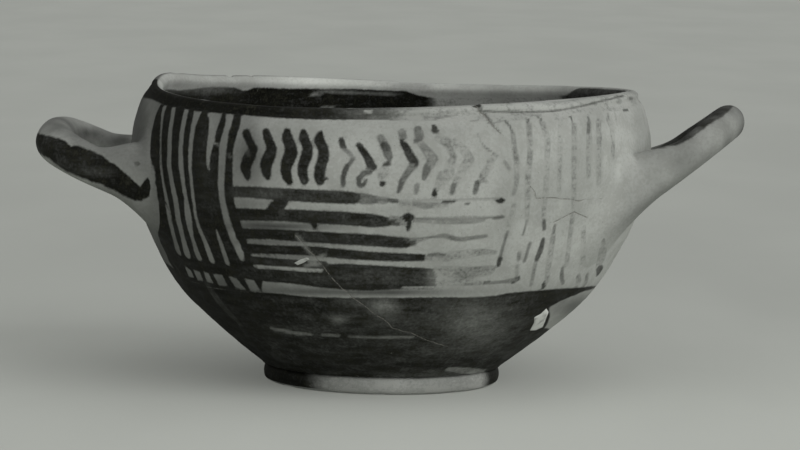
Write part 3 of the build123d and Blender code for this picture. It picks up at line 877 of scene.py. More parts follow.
def as_angle_height(pixels):
    """Pixels on the front as angle and height."""
    spots = on_wall(fill_in(pixels, BREAK_STEP))
    return np.stack([spots[:, 0], OUTSIDE.height(spots[:, 1])], -1)


def in_radians(line):
    """A line of degrees and heights as angles and heights."""
    return np.array(line) * np.array([np.pi / 180, 1.0])


def ragged(line, amount, seed):
    """A break line with small random kinks, but none at its ends."""
    kinks = np.random.default_rng(seed).normal(0, amount, line.shape)
    kinks[:, 0] /= WALL_RADIUS
    kinks[[0, -1]] = 0
    return line + kinks


def find_breaks():
    """Every break as a list of angle and height, and the outlines of the two sherds."""
    down, level = as_angle_height(JOIN_DOWN), as_angle_height(JOIN_LEVEL)
    start = [[down[0, 0], RIM_HEIGHT + 0.5]]
    right = ragged(np.concatenate([start, down, level[1:], in_radians(JOIN_UNDER_HANDLE)]), *RIGHT_KINKS)
    back = ragged(fill_in(in_radians(BACK_JOIN), 2.0), *BACK_KINKS)
    lines = [
        right, back, ragged(as_angle_height(HAIRLINE), *HAIRLINE_KINKS), as_angle_height(OLD_CRACK),
        ragged(fill_in(in_radians(BACK_HAIRLINE), 2.5), *BACK_HAIRLINE_KINKS),
    ]
    over = RIM_HEIGHT + 5
    outlines = [np.concatenate([line, [[line[-1, 0], over], [line[0, 0], over]]]) for line in (right, back)]
    return lines, outlines


BREAKS, SHERDS = find_breaks()


def break_fields(around, along, wall):
    """Signed distance to the nearest break, and plain distance to it."""
    radius = wall.radius(along)
    side = np.full(around.shape, FAR)
    near = np.full(around.shape, FAR)
    for line in BREAKS:
        on_this = np.stack([line[:, 0], wall.at_height(line[:, 1])], -1)
        gap, signed = line_distance(around, along, radius, on_this, np.zeros(len(line)))
        side = np.where(gap < near, signed, side)
        near = np.minimum(near, gap)
    return side, near


# Chips out of the lip: degrees round the axis, half-width and depth; and the heights over which they deepen
LIP_CHIPS = [
    (136.4, 0.9, 0.9), (129.4, 0.7, 0.25), (87.7, 1.6, 0.35), (84, 3, 0.22), (-71.5, 0.9, 0.3),
    (-30, 2.2, 0.35), (-24, 1.2, 0.25), (160, 2.6, 0.2), (35, 2.4, 0.3), (-140, 1.4, 0.12),
    (60, 1.4, 0.18), (-100, 1.1, 0.1), (8, 1.8, 0.2), (-48, 8, 0.6),
]
LIP_CREST = (74.2, 75.6)

# Unevenness of the outer face: amount, cells round the cup, cell length and seed of each layer
HAND_WAVES = [(0.15, 9, 22.0, 11), (0.06, 31, 6.5, 12)]
THROWING_RINGS = [(0.045, 3, 2.7, 13), (0.03, 4, 1.5, 14)]
RINGS_FROM = (1, 4)

# Small dents: how many, where they start, their size and depth, how these and their shapes vary, and over
# which share of its size a dent fades
DENT_COUNT = 90
DENT_SEED = 21
DENT_LOWEST = 4
DENT_SIZE = 1.5
DENT_SIZES = (0.5, 1.3)
DENT_DEPTH = 0.16
DENT_DEPTHS = (0.4, 1.0)
DENT_SHAPES = (0.8, 1.6)
DENT_EDGE = (0.4, 1.6)
DENT_WALL_RADIUS = 60

# The furrow along a break
BREAK_DEPTH = 0.10
BREAK_HALF = 0.35

# How far each sherd stands proud of the wall, and over which distances from its outline
SHERD_RISES = (0.10, 0.08)
SHERD_EDGE = (-0.3, 0.3)

# The worn groove under the lip: its half-height, and how far it is filled at the left and right, over which
# angles. The turned line cuts into the lip, and the lip is rubbed lower at the left.
GROOVE_HALF = 0.3
GROOVE_FILL_LEFT = 0.3
GROOVE_FILL_RIGHT = 0.2
LEFT_ARC = (2.0, 2.8)
RIGHT_ARC = (-0.5, 0.8)
TURNED_LINE_DEPTH = 0.22
TURNED_LINE_HALF = 0.3
LIP_RUB_DEPTH = 0.6
LIP_RUB_LEVEL = (74.9, 0.6)


def dents(around, along):
    """Small knocks and pits scattered over the wall."""
    random = np.random.default_rng(DENT_SEED)
    total = np.zeros(around.shape)
    for _ in range(DENT_COUNT):
        a = random.uniform(-np.pi, np.pi)
        s = random.uniform(DENT_LOWEST, OUTSIDE.lengths[-1])
        radius = DENT_SIZE * random.uniform(*DENT_SIZES)
        across = (around - a) * DENT_WALL_RADIUS / random.uniform(*DENT_SHAPES)
        reach = np.hypot(across, along - s) / radius
        close = reach < DENT_EDGE[1]
        total[close] -= DENT_DEPTH * random.uniform(*DENT_DEPTHS) * smooth_drop(reach[close], *DENT_EDGE)
    return total


def lip_relief(around, along):
    """Chips, the worn groove and the turned line of the lip."""
    height = OUTSIDE.height(along)
    crest = smooth_step(height, *LIP_CREST)
    lift = np.zeros(around.shape)
    for degrees, half_width, depth in LIP_CHIPS:
        lift -= depth * crest * bell((around - math.radians(degrees)) * LIP_RADIUS, 0, half_width)
    left_side = smooth_step(np.abs(around), *LEFT_ARC)
    filled = GROOVE_FILL_LEFT * left_side + GROOVE_FILL_RIGHT * bell(around, *RIGHT_ARC)
    lift += bell(height, GROOVE_HEIGHT, GROOVE_HALF) * filled
    no_width = np.zeros(len(LIP_LINE_ON_WALL))
    line, _ = line_distance(around, along, OUTSIDE.radius(along), LIP_LINE_ON_WALL, no_width)
    lift -= TURNED_LINE_DEPTH * bell(line, 0, TURNED_LINE_HALF)
    return lift - LIP_RUB_DEPTH * left_side * bell(height, *LIP_RUB_LEVEL)


def outer_relief(around, along, near):
    """Rise and fall of the outer face: throwing rings, knocks, breaks, sherds and the lip."""
    lift = waves(around, along, HAND_WAVES)
    lift += waves(around, along, THROWING_RINGS) * smooth_step(along, *RINGS_FROM)
    lift += dents(around, along)
    lift -= BREAK_DEPTH * bell(near, 0, BREAK_HALF)
    for outline, rise in zip(SHERDS, SHERD_RISES):
        depth = -area_distance(around, OUTSIDE.height(along), OUTSIDE.radius(along), outline)
        lift += rise * smooth_step(depth, *SHERD_EDGE)
    return lift + lip_relief(around, along)


def ring_numbers(rows, columns):
    """Vertex numbers of rings that follow one another."""
    return [np.arange(k * columns, (k + 1) * columns) for k in range(rows)]


def ring_stack_faces(rings):
    """Faces between closed rings of vertex numbers. A ring may have half the points of its neighbour."""
    faces = []
    for lower, upper in zip(rings, rings[1:]):
        if len(lower) == len(upper):
            corners = lower, np.roll(lower, -1), np.roll(upper, -1), upper
        elif len(lower) > len(upper):
            corners = lower[::2], lower[1::2], np.roll(lower, -2)[::2], np.roll(upper, -1), upper
        else:
            corners = lower, np.roll(lower, -1), np.roll(upper, -2)[::2], upper[1::2], upper[::2]
        faces += np.stack(corners, -1).tolist()
    return faces


def add_object(name, data):
    """A new object in the scene."""
    obj = bpy.data.objects.new(name, data)
    bpy.context.scene.collection.objects.link(obj)
    return obj


def mesh_piece(name, points, faces, values, material, normals=None):
    """Smooth mesh object from points in millimetres, with named values at its points for the material."""
    mesh = bpy.data.meshes.new(name)
    mesh.from_pydata((points * MM).tolist(), [], faces)
    for key, array in values.items():
        attribute = mesh.attributes.new(key, "FLOAT", "POINT")
        attribute.data.foreach_set("value", np.ascontiguousarray(array, np.float32))
    mesh.polygons.foreach_set("use_smooth", [True] * len(mesh.polygons))
    if normals is not None:
        mesh.normals_split_custom_set_from_vertices(normals.tolist())
    mesh.materials.append(material)
    mesh.update()
    return add_object(name, mesh)


def grid_piece(name, spots, faces, values, material):
    """A mesh piece from a grid of points, with its values in the order of VALUE_NAMES."""
    flat = {key: np.broadcast_to(array, spots.shape[:2]).ravel() for key, array in zip(VALUE_NAMES, values)}
    return mesh_piece(name, spots.reshape(-1, 3), faces, flat, material)


def dress(obj, slot, *nodes):
    """Make a piece ride and replace its CAD nodes. The slot is not used."""
    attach(obj, "root")
    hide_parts(*nodes)


# What each mesh point carries for the material, and the values of plain clay
VALUE_NAMES = ("paint", "strength", "wear", "tone", "break_side", "break_near")
PLAIN_CLAY = dict(zip(VALUE_NAMES, (FAR, 1.0, 0.3, 0.9, FAR, FAR)))


def outer_grid(around, along):
    """Points and values of the outer wall over a grid of angles and distances."""
    side, near = break_fields(around, along, OUTSIDE)
    near = near + Canvas(around, along).patches(QUIET_BREAKS).reshape(near.shape)
    points = OUTSIDE.point(around, along, outer_relief(around, along, near))
    return points, dict(zip(VALUE_NAMES, (*paint_outside(around, along), side, near)))


# Depth of the reserved band under the rim, by degrees round the axis
RESERVED_BAND = [
    (-180, 3.4), (-90, 3.2), (-14, 3), (-8, 0.5), (35, 0.5), (38.5, 2.8), (41, 3.4), (79, 5.2), (82, 4.6),
    (84.5, 4.2), (86, 2.9), (96, 3), (104, 3.1), (112, 3.4), (118, 3.8), (126, 3.5), (130.5, 3.6),
    (131, 4.5), (133.8, 4.5), (134.5, 3.5), (148, 3.9), (160, 4.9), (180, 3.6),
]
BAND_WAVER = 0.25
BAND_WAVER_CELLS = (40, 9.0, 43)

# Unevenness of the inner face, and the step along its breaks, which show less than outside
INNER_WAVES = [(0.12, 8, 18.0, 41), (0.10, 2, 5.0, 42)]
INNER_BREAK_DEPTH = 0.4
INNER_BREAK_HALF = 0.6
INNER_BREAKS_QUIET = 0.6

# The worn wall behind the rim's middle: the degrees where it starts, is full, fades and ends. Deeper down its
# edges grow ragged and soft. How much of the paint is gone there is by depth.
WORN_ARC = (40, 43, 79.2, 80.6)
WORN_SOFTENING = 6
WORN_RAGGEDNESS = 9
RAGGED_FROM = (8, 24)
WORN_DEPTH = (13, 25)
WORN_AWAY = [(3, 0.95), (8, 0.95), (16, 0.80)]

# Other marks inside, in degrees and depths: thinner paint at the left, flaked specks, a pale streak under the
# band, a paler and a dimmer stretch, a dark mark by the join, and thinner paint at the front
THIN_ARC = (128, 142)
THIN_DEPTH = (4, 7)
SPECK_MIDDLE = 107
SPECK_ARC = (4, 9)
SPECK_DEPTH = (10, 16)
SPECK_LIMITS = (0.45, 0.7)
STREAK_MIDDLE = 100
STREAK_ARC = (8, 13)
STREAK_LEVEL = (1.0, 0.4)
PALE_BAND = (108, 14)
DIM_BAND = (122, 134)
DARK_MARK_MIDDLE = 86
DARK_MARK_ARC = (4, 6)
DARK_MARK_LEVEL = (1.2, 0.5)
FRONT_THIN_ARC = (-60, -20, 38, 42)

# Noise of the inner face's paint: cells round the cup, cell length and seed
RAGGED_CELLS = (22, 6.0, 47)
WORN_EDGE_CELLS = (18, 5.0, 48)
SPECK_CELLS = (150, 1.0, 46)
WEAR_CELLS = (9, 14.0, 44)
TONE_CELLS = (7, 8.0, 45)


def inner_worn(around, along, degrees):
    """How far the paint behind the rim's middle is worn."""
    deep = smooth_step(along, *RAGGED_FROM)
    degrees = degrees + WORN_RAGGEDNESS * deep * noise(around, along, *RAGGED_CELLS)
    start, full, fading, end = WORN_ARC
    soft = WORN_SOFTENING * deep
    worn = within(degrees, start, full + soft, fading - soft, end)
    return worn * smooth_drop(along + 4 * noise(around, along, *WORN_EDGE_CELLS), *WORN_DEPTH)


def inner_strength(around, along, degrees, band, worn):
    """How full the paint of the inner wall is."""
    thin = smooth_step(degrees, *THIN_ARC) * smooth_drop(along, *THIN_DEPTH)
    specks = smooth_step(noise(around, along, *SPECK_CELLS), *SPECK_LIMITS)
    specks *= smooth_drop(np.abs(degrees - SPECK_MIDDLE), *SPECK_ARC) * smooth_drop(along, *SPECK_DEPTH)
    streak = bell(along - band, *STREAK_LEVEL) * smooth_drop(np.abs(degrees - STREAK_MIDDLE), *STREAK_ARC)
    lost = worn * np.interp(along, *zip(*WORN_AWAY)) + 0.3 * thin
    lost += (0.5 * specks + 0.4 * streak) * (1 - worn)
    return 1 - lost - 0.15 * within(degrees, *FRONT_THIN_ARC)


def inner_grid(around, along):
    """Points and values of the inner wall: black but for a reserved band under the rim."""
    side, near = break_fields(around, along, INSIDE)
    near = near + INNER_BREAKS_QUIET
    degrees = np.degrees(around)
    lift = waves(around, along, INNER_WAVES) - INNER_BREAK_DEPTH * bell(near, 0, INNER_BREAK_HALF)
    band = np.interp(degrees, *zip(*RESERVED_BAND)) + BAND_WAVER * noise(around, along * 0, *BAND_WAVER_CELLS)
    worn = inner_worn(around, along, degrees)
    strength = inner_strength(around, along, degrees, band, worn)
    wear = 0.12 + 0.1 * worn + 0.08 * noise(around, along, *WEAR_CELLS)
    tone = 1 + 0.05 * noise(around, along, *TONE_CELLS) + 0.14 * worn + 0.44 * bell(degrees, *PALE_BAND)
    mark = bell(along, *DARK_MARK_LEVEL) * smooth_drop(np.abs(degrees - DARK_MARK_MIDDLE), *DARK_MARK_ARC)
    tone -= 0.12 * smooth_step(degrees, *DIM_BAND) + 0.35 * mark
    values = (band - along, strength, wear, tone, side, near)
    return INSIDE.point(around, along, lift), dict(zip(VALUE_NAMES, values))


class Skin:
    """Rings of points stacked into one closed skin."""

    def __init__(self):
        self.rings, self.points, self.places, self.values = [], [], [], []
        self.count = 0

    def add_rows(self, points, fields, around, heights):
        """Rows of closed rings, with their values, and each point's angle and height before any relief."""
        for _ in range(points.shape[0]):
            self.rings.append(np.arange(self.count, self.count + around.size))
            self.count += around.size
        self.points.append(points.reshape(-1, 3))
        self.places.append(np.stack([np.tile(around, len(heights)), np.repeat(heights, around.size)], -1))
        rows = [np.broadcast_to(fields[key], points.shape[:2]).ravel() for key in VALUE_NAMES]
        self.values.append(np.stack(rows))

    def faces(self):
        """Faces between the rings, with a cap on the first and the last."""
        return ring_stack_faces(self.rings) + [self.rings[0][::-1].tolist(), self.rings[-1].tolist()]


def bowl_skin():
    """Underside, outer wall and inner wall of the bowl."""
    front = np.linspace(-np.pi, 0, FRONT_COLUMNS, endpoint=False)
    back = np.linspace(0, np.pi, BACK_COLUMNS, endpoint=False)
    fine = np.concatenate([front, back])
    coarse = fine[::2]
    skin = Skin()
    radii = np.array(UNDERSIDE_RADII, float)[:, None]
    height = UNDERSIDE_HEIGHT + 0.06 * np.sin(radii * 2.1 + 0.2 * coarse)
    under = np.stack([radii * np.cos(coarse), radii * np.sin(coarse), height], -1)
    skin.add_rows(under, PLAIN_CLAY, coarse, np.zeros(len(radii)))
    for wall, grid, columns in ((OUTSIDE, outer_grid, fine), (INSIDE, inner_grid, coarse)):
        along, around = np.meshgrid(wall.lengths, columns, indexing="ij")
        skin.add_rows(*grid(around, along), columns, wall.profile[:, 1])
    return skin


def whole_normals(points, faces, material):
    """Normals of the unbroken bowl, so that shading runs on over the breaks."""
    whole = mesh_piece("whole_bowl", points, faces, {}, material)
    normals = np.zeros(len(points) * 3, np.float32)
    whole.data.vertices.foreach_get("normal", normals)
    bpy.data.objects.remove(whole)
    return normals.reshape(-1, 3)


def face_owners(faces, places):
    """The number of the sherd that each face belongs to, or 0 for the bowl."""
    first, third = places[[face[0] for face in faces]], places[[face[2] for face in faces]]
    turn = np.mod(third[:, 0] - first[:, 0] + np.pi, FULL_TURN) - np.pi
    around, height = first[:, 0] + turn / 2, (first[:, 1] + third[:, 1]) / 2
    owner = np.zeros(len(faces), int)
    for number, outline in enumerate(SHERDS, 1):
        inside = area_distance(around, height, np.full(len(faces), WALL_RADIUS), outline) < 0
        owner[inside] = number
    return owner


# The pieces that the skin parts into, each with its CAD node and record slot: the bowl, then the sherds
BOWL_PIECES = (
    ("bowl_painted", "bowl", "bowl_clay"), ("sherd_right_painted", "wall_sherd_right", "sherd_clay"),
    ("sherd_back_painted", "rim_sherd_back", "sherd_clay"),
)


def build_bowl(material):
    """The thrown bowl as one skin, parted into the bowl and its two mended sherds."""
    skin = bowl_skin()
    faces = skin.faces()
    points, places = np.concatenate(skin.points), np.concatenate(skin.places)
    values = np.concatenate(skin.values, 1)
    normals = whole_normals(points, faces, material)
    owner = face_owners(faces, places)
    for number, (name, node, slot) in enumerate(BOWL_PIECES):
        chosen = [face for face, mine in zip(faces, owner == number) if mine]
        used = np.unique(np.concatenate(chosen))
        renumber = np.zeros(len(points), int)
        renumber[used] = np.arange(len(used))
        local = [renumber[face].tolist() for face in chosen]
        piece_values = {key: values[k, used] for k, key in enumerate(VALUE_NAMES)}
        dress(mesh_piece(name, points[used], local, piece_values, material, normals[used]), slot, node)


# The foot ring's profile as radius and height, its mesh fineness, and its unevenness
FOOT_PROFILE = [
    (25, 4.7), (24.9, 3.4), (25.1, 1.6), (25.6, 0.55), (26.3, 0.08), (27.8, 0), (29.2, 0.05), (29.9, 0.35),
    (30.3, 0.9), (30.45, 1.8), (30.4, 2.9), (30.25, 3.7), (29.9, 4.2), (29.3, 4.55), (28, 4.7),
]
FOOT_STEP = 0.42
FOOT_COLUMNS = 420
FOOT_WAVES = [(0.10, 16, 4.0, 51), (0.05, 4, 1.2, 52)]
FOOT_CHIP_DEPTH = 0.15
FOOT_CHIP_CELLS = (40, 2.0, 53)
FOOT_CHIP_LIMITS = (0.45, 0.8)

# The foot's paint: from which radius and height it covers, where it is worn off, and where the clay is darker
FOOT_PAINT_FROM = (28.6, 0.5)
FOOT_WORN_FRONT = (-132, -112, -36, -22)
FOOT_WORN_BACK = (70, 30)
FOOT_DARK_ARC = (-46, 16)


def build_foot(material):
    """Foot ring with a worn resting edge and turning marks."""
    rows = resample(FOOT_PROFILE, FOOT_STEP)
    columns = np.linspace(-np.pi, np.pi, FOOT_COLUMNS, endpoint=False)
    along, around = np.meshgrid(path_lengths(rows), columns, indexing="ij")
    lift = waves(around, along, FOOT_WAVES)
    lift -= FOOT_CHIP_DEPTH * smooth_step(noise(around, along, *FOOT_CHIP_CELLS), *FOOT_CHIP_LIMITS)
    spots = Wall(rows).bare_point(around, along, lift)
    spots[..., 2] = np.maximum(spots[..., 2], 0)
    degrees = np.degrees(around)
    worn = within(degrees, *FOOT_WORN_FRONT) + bell(degrees, *FOOT_WORN_BACK)
    painted = (rows[:, 0] > FOOT_PAINT_FROM[0]) & (rows[:, 1] > FOOT_PAINT_FROM[1])
    paint = np.where(painted[:, None], -1.0, 1.0)
    tone = 0.84 + 0.11 * worn - 0.20 * bell(degrees, *FOOT_DARK_ARC)
    values = (paint, 1 - 0.88 * worn, 0.2 + 0.3 * worn, tone, FAR, FAR)
    rings = ring_numbers(len(rows), columns.size)
    foot = grid_piece("foot_painted", spots, ring_stack_faces(rings + rings[:1]), values, material)
    dress(foot, "foot_clay", "foot_ring")


class Handle:
    """One loop handle: a bent roll of clay whose ends spread over the wall.

    `fillets` says how far the roots spread over the wall, and how much further underneath. `shoulders` says
    how the near and the far arm grow taller towards the wall: rise, and how far out it starts and ends.
    """

    COLUMNS = 60
    ROOT_ROWS = 15
    ROUTE_POINTS = 241
    BURIED_POINTS = 12
    BURIED_LENGTH = 8
    ROUTE_STEP = 0.7
    ROUTE_ROUNDING = 3.0
    SQUARENESS = 2 / 2.7
    GIRTH_WAVES = [(0.035, 5, 13.0, 61), (0.012, 11, 4.0, 62)]
    SHOULDER_SHARPNESS = 1.5
    ROOT_START = 1.15
    ROOT_LEAVE = 1.2
    ROOT_ARRIVE = 1.3
    INNER_FOOT = 0.8
    FOOT_SINK = -0.35
    LANDING_ROUNDS = 24
    WALL_BLEND = (0.2, 4.5)

    def __init__(self, name, side, root_height, tilt, spread, roll, thickness, fillets, shoulders):
        self.name, self.side = name, side
        self.fillet, self.under_fillet = fillets
        self.shoulders = shoulders
        self.half_spread = spread / 2
        self.radius = thickness / 2
        low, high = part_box(name)
        root_radius = OUTSIDE.radius(OUTSIDE.at_height(root_height))
        self.origin = np.array([side * math.sqrt(root_radius**2 - self.half_spread**2), 0, root_height])
        lean, turn = math.radians(tilt), math.radians(roll)
        self.outward = np.array([side * math.cos(lean), 0, math.sin(lean)])
        up = np.array([-side * math.sin(lean), 0, math.cos(lean)])
        across = np.array([0.0, 1.0, 0.0])
        self.across = across * math.cos(turn) + up * math.sin(turn)
        self.up = up * math.cos(turn) - across * math.sin(turn)
        reach = max(abs(low.x), abs(high.x)) / MM
        self.tip = (reach - self.radius - abs(self.origin[0])) / math.cos(lean)

    def route(self):
        """Middle line of the roll, from inside the wall at the near root to inside it at the far root."""
        turn = np.radians(np.linspace(-90, 90, self.ROUTE_POINTS))
        out = self.tip * np.abs(np.cos(turn)) ** self.SQUARENESS
        aside = self.half_spread * np.sign(turn) * np.abs(np.sin(turn)) ** self.SQUARENESS
        inside = np.linspace(-self.BURIED_LENGTH, 0, self.BURIED_POINTS, endpoint=False)
        at_side = np.full(self.BURIED_POINTS, self.half_spread)
        out = np.concatenate([inside, out, inside[::-1]])
        aside = np.concatenate([-at_side, aside, at_side])
        path = self.origin + out[:, None] * self.outward + aside[:, None] * self.across
        return soften(path, self.ROUTE_STEP, self.ROUTE_ROUNDING)

    def shoulder(self, path):
        """How much taller each arm grows on its upper side towards the wall."""
        out = (path - self.origin) @ self.outward
        near, far = (rise * smooth_drop(out, start, end) for rise, start, end in self.shoulders)
        return np.where((path - self.origin) @ self.across < 0, near, far)

    def wall_gap(self, points):
        """How far points stand out from the wall, measured level."""
        level = OUTSIDE.radius(OUTSIDE.at_height(points[..., 2]))
        return np.hypot(points[..., 0], points[..., 1]) - level

    def tube(self, path, columns):
        """Rings round the whole route, and the directions of their points."""
        heading = unit(np.gradient(path, axis=0))
        outer = unit(self.side * np.cross(heading, self.up))
        upper = self.side * np.cross(outer, heading)
        along, around = np.meshgrid(path_lengths(path), columns, indexing="ij")
        spokes = np.cos(around)[..., None] * outer[:, None] + np.sin(around)[..., None] * upper[:, None]
        shoulder = self.shoulder(path)[:, None] * np.clip(np.sin(around), 0, 1) ** self.SHOULDER_SHARPNESS
        girth = 1 + waves(around, along, self.GIRTH_WAVES)
        return path[:, None] + (self.radius * girth + shoulder)[..., None] * spokes, spokes

    def build(self, material, paint_rule):
        """Make the handle's mesh and paint it by its rule."""
        path = self.route()
        columns = np.linspace(0, FULL_TURN, self.COLUMNS, endpoint=False)
        tube, spokes = self.tube(path, columns)
        keep = np.flatnonzero(self.wall_gap(path) > self.ROOT_START * self.radius)
        first, last = keep[0], keep[-1]
        near_root = self.root(path, tube, spokes, first, 1)[::-1]
        far_root = self.root(path, tube, spokes, last, -1)
        spots = np.concatenate([near_root, tube[first:last + 1], far_root])
        ends = np.ones(self.ROOT_ROWS)
        share = np.concatenate([0 * ends, np.linspace(0, 1, last + 1 - first), ends])[:, None] + 0 * columns
        turned = np.broadcast_to((np.degrees(columns) + 180) % 360 - 180, share.shape)
        values = paint_rule(to_photo(settle(spots)), share, turned, self.radius)
        values = self.blend_to_wall(spots, values)
        faces = ring_stack_faces(ring_numbers(len(spots), columns.size))
        if self.side > 0:
            faces = [face[::-1] for face in faces]
        obj = grid_piece(self.name + "_rolled", settle(spots), faces, values, material)
        dress(obj, "handle_clay", self.name)

    def blend_to_wall(self, spots, values):
        """Carry the wall's own paint and tone onto the parts of the roots that lie on it."""
        onto = 1 - smooth_step(self.wall_gap(spots), *self.WALL_BLEND)
        front = on_wall(to_photo(settle(spots)).reshape(-1, 2)).reshape(*spots.shape[:2], 2)
        is_front = spots[..., 1] < 0
        around = np.where(is_front, front[..., 0], np.arctan2(spots[..., 1], spots[..., 0]))
        along = np.where(is_front, front[..., 1], OUTSIDE.at_height(spots[..., 2]))
        wall_values = paint_outside(around, along)
        paint, strength, wear, tone, side, near = values
        mixed = [a * (1 - onto) + b * onto for a, b in zip((strength, wear, tone), wall_values[1:])]
        own = paint + 2 * FAR * smooth_step(onto, 0.5, 0.9)
        walls = wall_values[0] + 2 * FAR * smooth_drop(onto, 0.5, 0.9)
        return np.minimum(own, walls), *mixed, side, near

    def land(self, start, heading):
        """Where lines from a ring's points along a heading meet the wall."""
        landing = start.copy()
        for _ in range(self.LANDING_ROUNDS):
            landing += heading * np.clip(self.wall_gap(landing), -2, 2)[:, None] * 0.8
        return landing

    def root(self, path, tube, spokes, end, step):
        """Rings that spread from the roll onto the wall, nearest the roll first."""
        start = tube[end]
        heading = unit(path[end] - path[end + step])
        landing = self.land(start, heading)
        outward = unit(landing * (1, 1, 0))
        spread = spokes[end] - (spokes[end] * outward).sum(1)[:, None] * outward
        spread /= np.maximum(np.linalg.norm(spread, axis=1)[:, None], 0.3)
        reach = self.fillet + self.under_fillet * np.clip(-spread[:, 2:], 0, 1)
        inner_foot = self.onto_wall(landing + spread * reach * self.INNER_FOOT, 0.0)
        foot = self.onto_wall(landing + spread * reach, self.FOOT_SINK)
        run = np.linalg.norm(landing - start, axis=1)[:, None]
        leave = heading * (run * self.ROOT_LEAVE + 1.0)
        arrive = unit(foot - inner_foot) * (reach * self.ROOT_ARRIVE)
        rings = []
        for t in np.linspace(0, 1, self.ROOT_ROWS + 1)[1:]:
            from_start, from_leave = 2 * t**3 - 3 * t**2 + 1, t**3 - 2 * t**2 + t
            from_foot, from_arrive = 3 * t**2 - 2 * t**3, t**3 - t**2
            rings.append(from_start * start + from_leave * leave + from_foot * foot + from_arrive * arrive)
        return np.array(rings)

    def onto_wall(self, points, lift):
        """The nearest points at the same height on the outer wall, lifted off it."""
        around = np.arctan2(points[:, 1], points[:, 0])
        return OUTSIDE.bare_point(around, OUTSIDE.at_height(points[:, 2]), lift)


# Upper and lower edge of the black on the left handle's near side, and lower edge of the black along the
# right handle's top, in pixels
LEFT_UPPER = [
    (30, 128), (40, 134), (47, 136), (59, 138), (66, 142), (71, 147), (76, 146), (84, 148), (92, 151),
    (100, 155), (111, 162), (119, 168), (127, 175), (140, 187), (146, 179), (152, 171),
]
LEFT_LOWER = [
    (30, 148), (38, 152), (47, 157.5), (56, 164), (64, 169.5), (74, 174.5), (84, 178.5), (94, 182),
    (104, 185.5), (114, 190), (124, 195.5), (135, 200.5), (143, 200.5), (147, 197), (153, 194),
]
RIGHT_LOWER = [
    (640, 148), (650, 148.6), (660, 148), (673, 145.6), (686, 140.5), (697, 134), (707, 126), (716, 120.4),
    (722, 117), (728, 111.5), (734, 106), (738, 98),
]

# Pixels of slope per millimetre on a handle's near side
ARM_FORESHORTENING = 0.86

# Soft places on the left handle, rubbed and scuffed paint, then painted shade on the far arm: x, y,
# half-width, half-height in pixels
LEFT_RUBBED = (58, 163, 13, 5)
LEFT_SCUFF = (92, 172, 22, 5)
LEFT_FAR_ARM_SHADE = (90, 133, 13, 6)
LEFT_FAR_SHADE = (122, 141, 13, 6)

# A small dark spot near the left handle's root: x, y, half-width, half-height and strength
LEFT_SPOT = (137, 164, 3.4, 2.6)
LEFT_SPOT_STRENGTH = 0.5

# The shares of the loop, from the near root to the far one, over which the hidden arm takes over
LEFT_TURNOVER = (0.5, 0.62)
RIGHT_TURNOVER = (0.5, 0.56)

# Half-width in degrees of the black on the left handle's far arm, by share of the loop
FAR_BAND_HALVES = [(0.5, 34), (0.6, 48), (1, 46)]

# The right handle's inner side is black beyond this many degrees from its outer side. Its near arm darkens
# towards the tip, and underneath, by painted shade.
RIGHT_INNER_FROM = 128
RIGHT_SHADE = (0.2, 0.36)
RIGHT_UNDERSIDE_SHADE = (-60, 25)

# Noise of the handles' paint: cells round the loop, cell length and seed
FAR_BAND_CELLS = (40, 9.0, 77)
LEFT_EDGE_CELLS = (60, 9.0, 71)
LEFT_WASH_CELLS = (30, 3.0, 76)
LEFT_WEAR_CELLS = (30, 3.0, 74)
LEFT_TONE_CELLS = (24, 3.0, 75)
RIGHT_EDGE_CELLS = (70, 9.0, 81)
RIGHT_WASH_CELLS = (46, 2.0, 82)
RIGHT_WEAR_CELLS = (30, 3.0, 83)
RIGHT_TONE_CELLS = (26, 3.0, 84)


def pixel_gap(pixels, line):
    """Millimetres from pixels to a pixel line, negative above it."""
    level = np.interp(pixels[..., 0], *zip(*line))
    return (pixels[..., 1] - level) * ARM_FORESHORTENING / PIXELS_PER_MM


def arm_noise(share, turned, cells, cell_length, seed):
    """Noise along a handle's loop and round its roll."""
    return noise(share * 6, turned, cells, cell_length, seed)


def far_arm_band(share, turned, radius):
    """The same band of black on the arm that the photograph hides."""
    half = np.interp(share, *zip(*FAR_BAND_HALVES)) + 6 * arm_noise(share, turned * 0, *FAR_BAND_CELLS)
    return (np.abs(turned - 2) - half) * math.radians(radius)


def left_handle_black(pixels, share, turned, radius):
    """Distances to the edge of the left handle's black and to its spot's."""
    edge = np.maximum(-pixel_gap(pixels, LEFT_UPPER), pixel_gap(pixels, LEFT_LOWER))
    edge = edge + 0.15 * arm_noise(share, turned * 0, *LEFT_EDGE_CELLS)
    hidden = np.maximum(smooth_step(np.abs(turned), 104, 130), smooth_step(share, *LEFT_TURNOVER)) * FAR
    edge = edge + hidden
    edge = np.where(share > LEFT_TURNOVER[0], np.minimum(far_arm_band(share, turned, radius), edge), edge)
    x, y, half_width, half_height = LEFT_SPOT
    spot = np.hypot((pixels[..., 0] - x) / half_width, (pixels[..., 1] - y) / half_height) - 1 + hidden
    return edge, spot


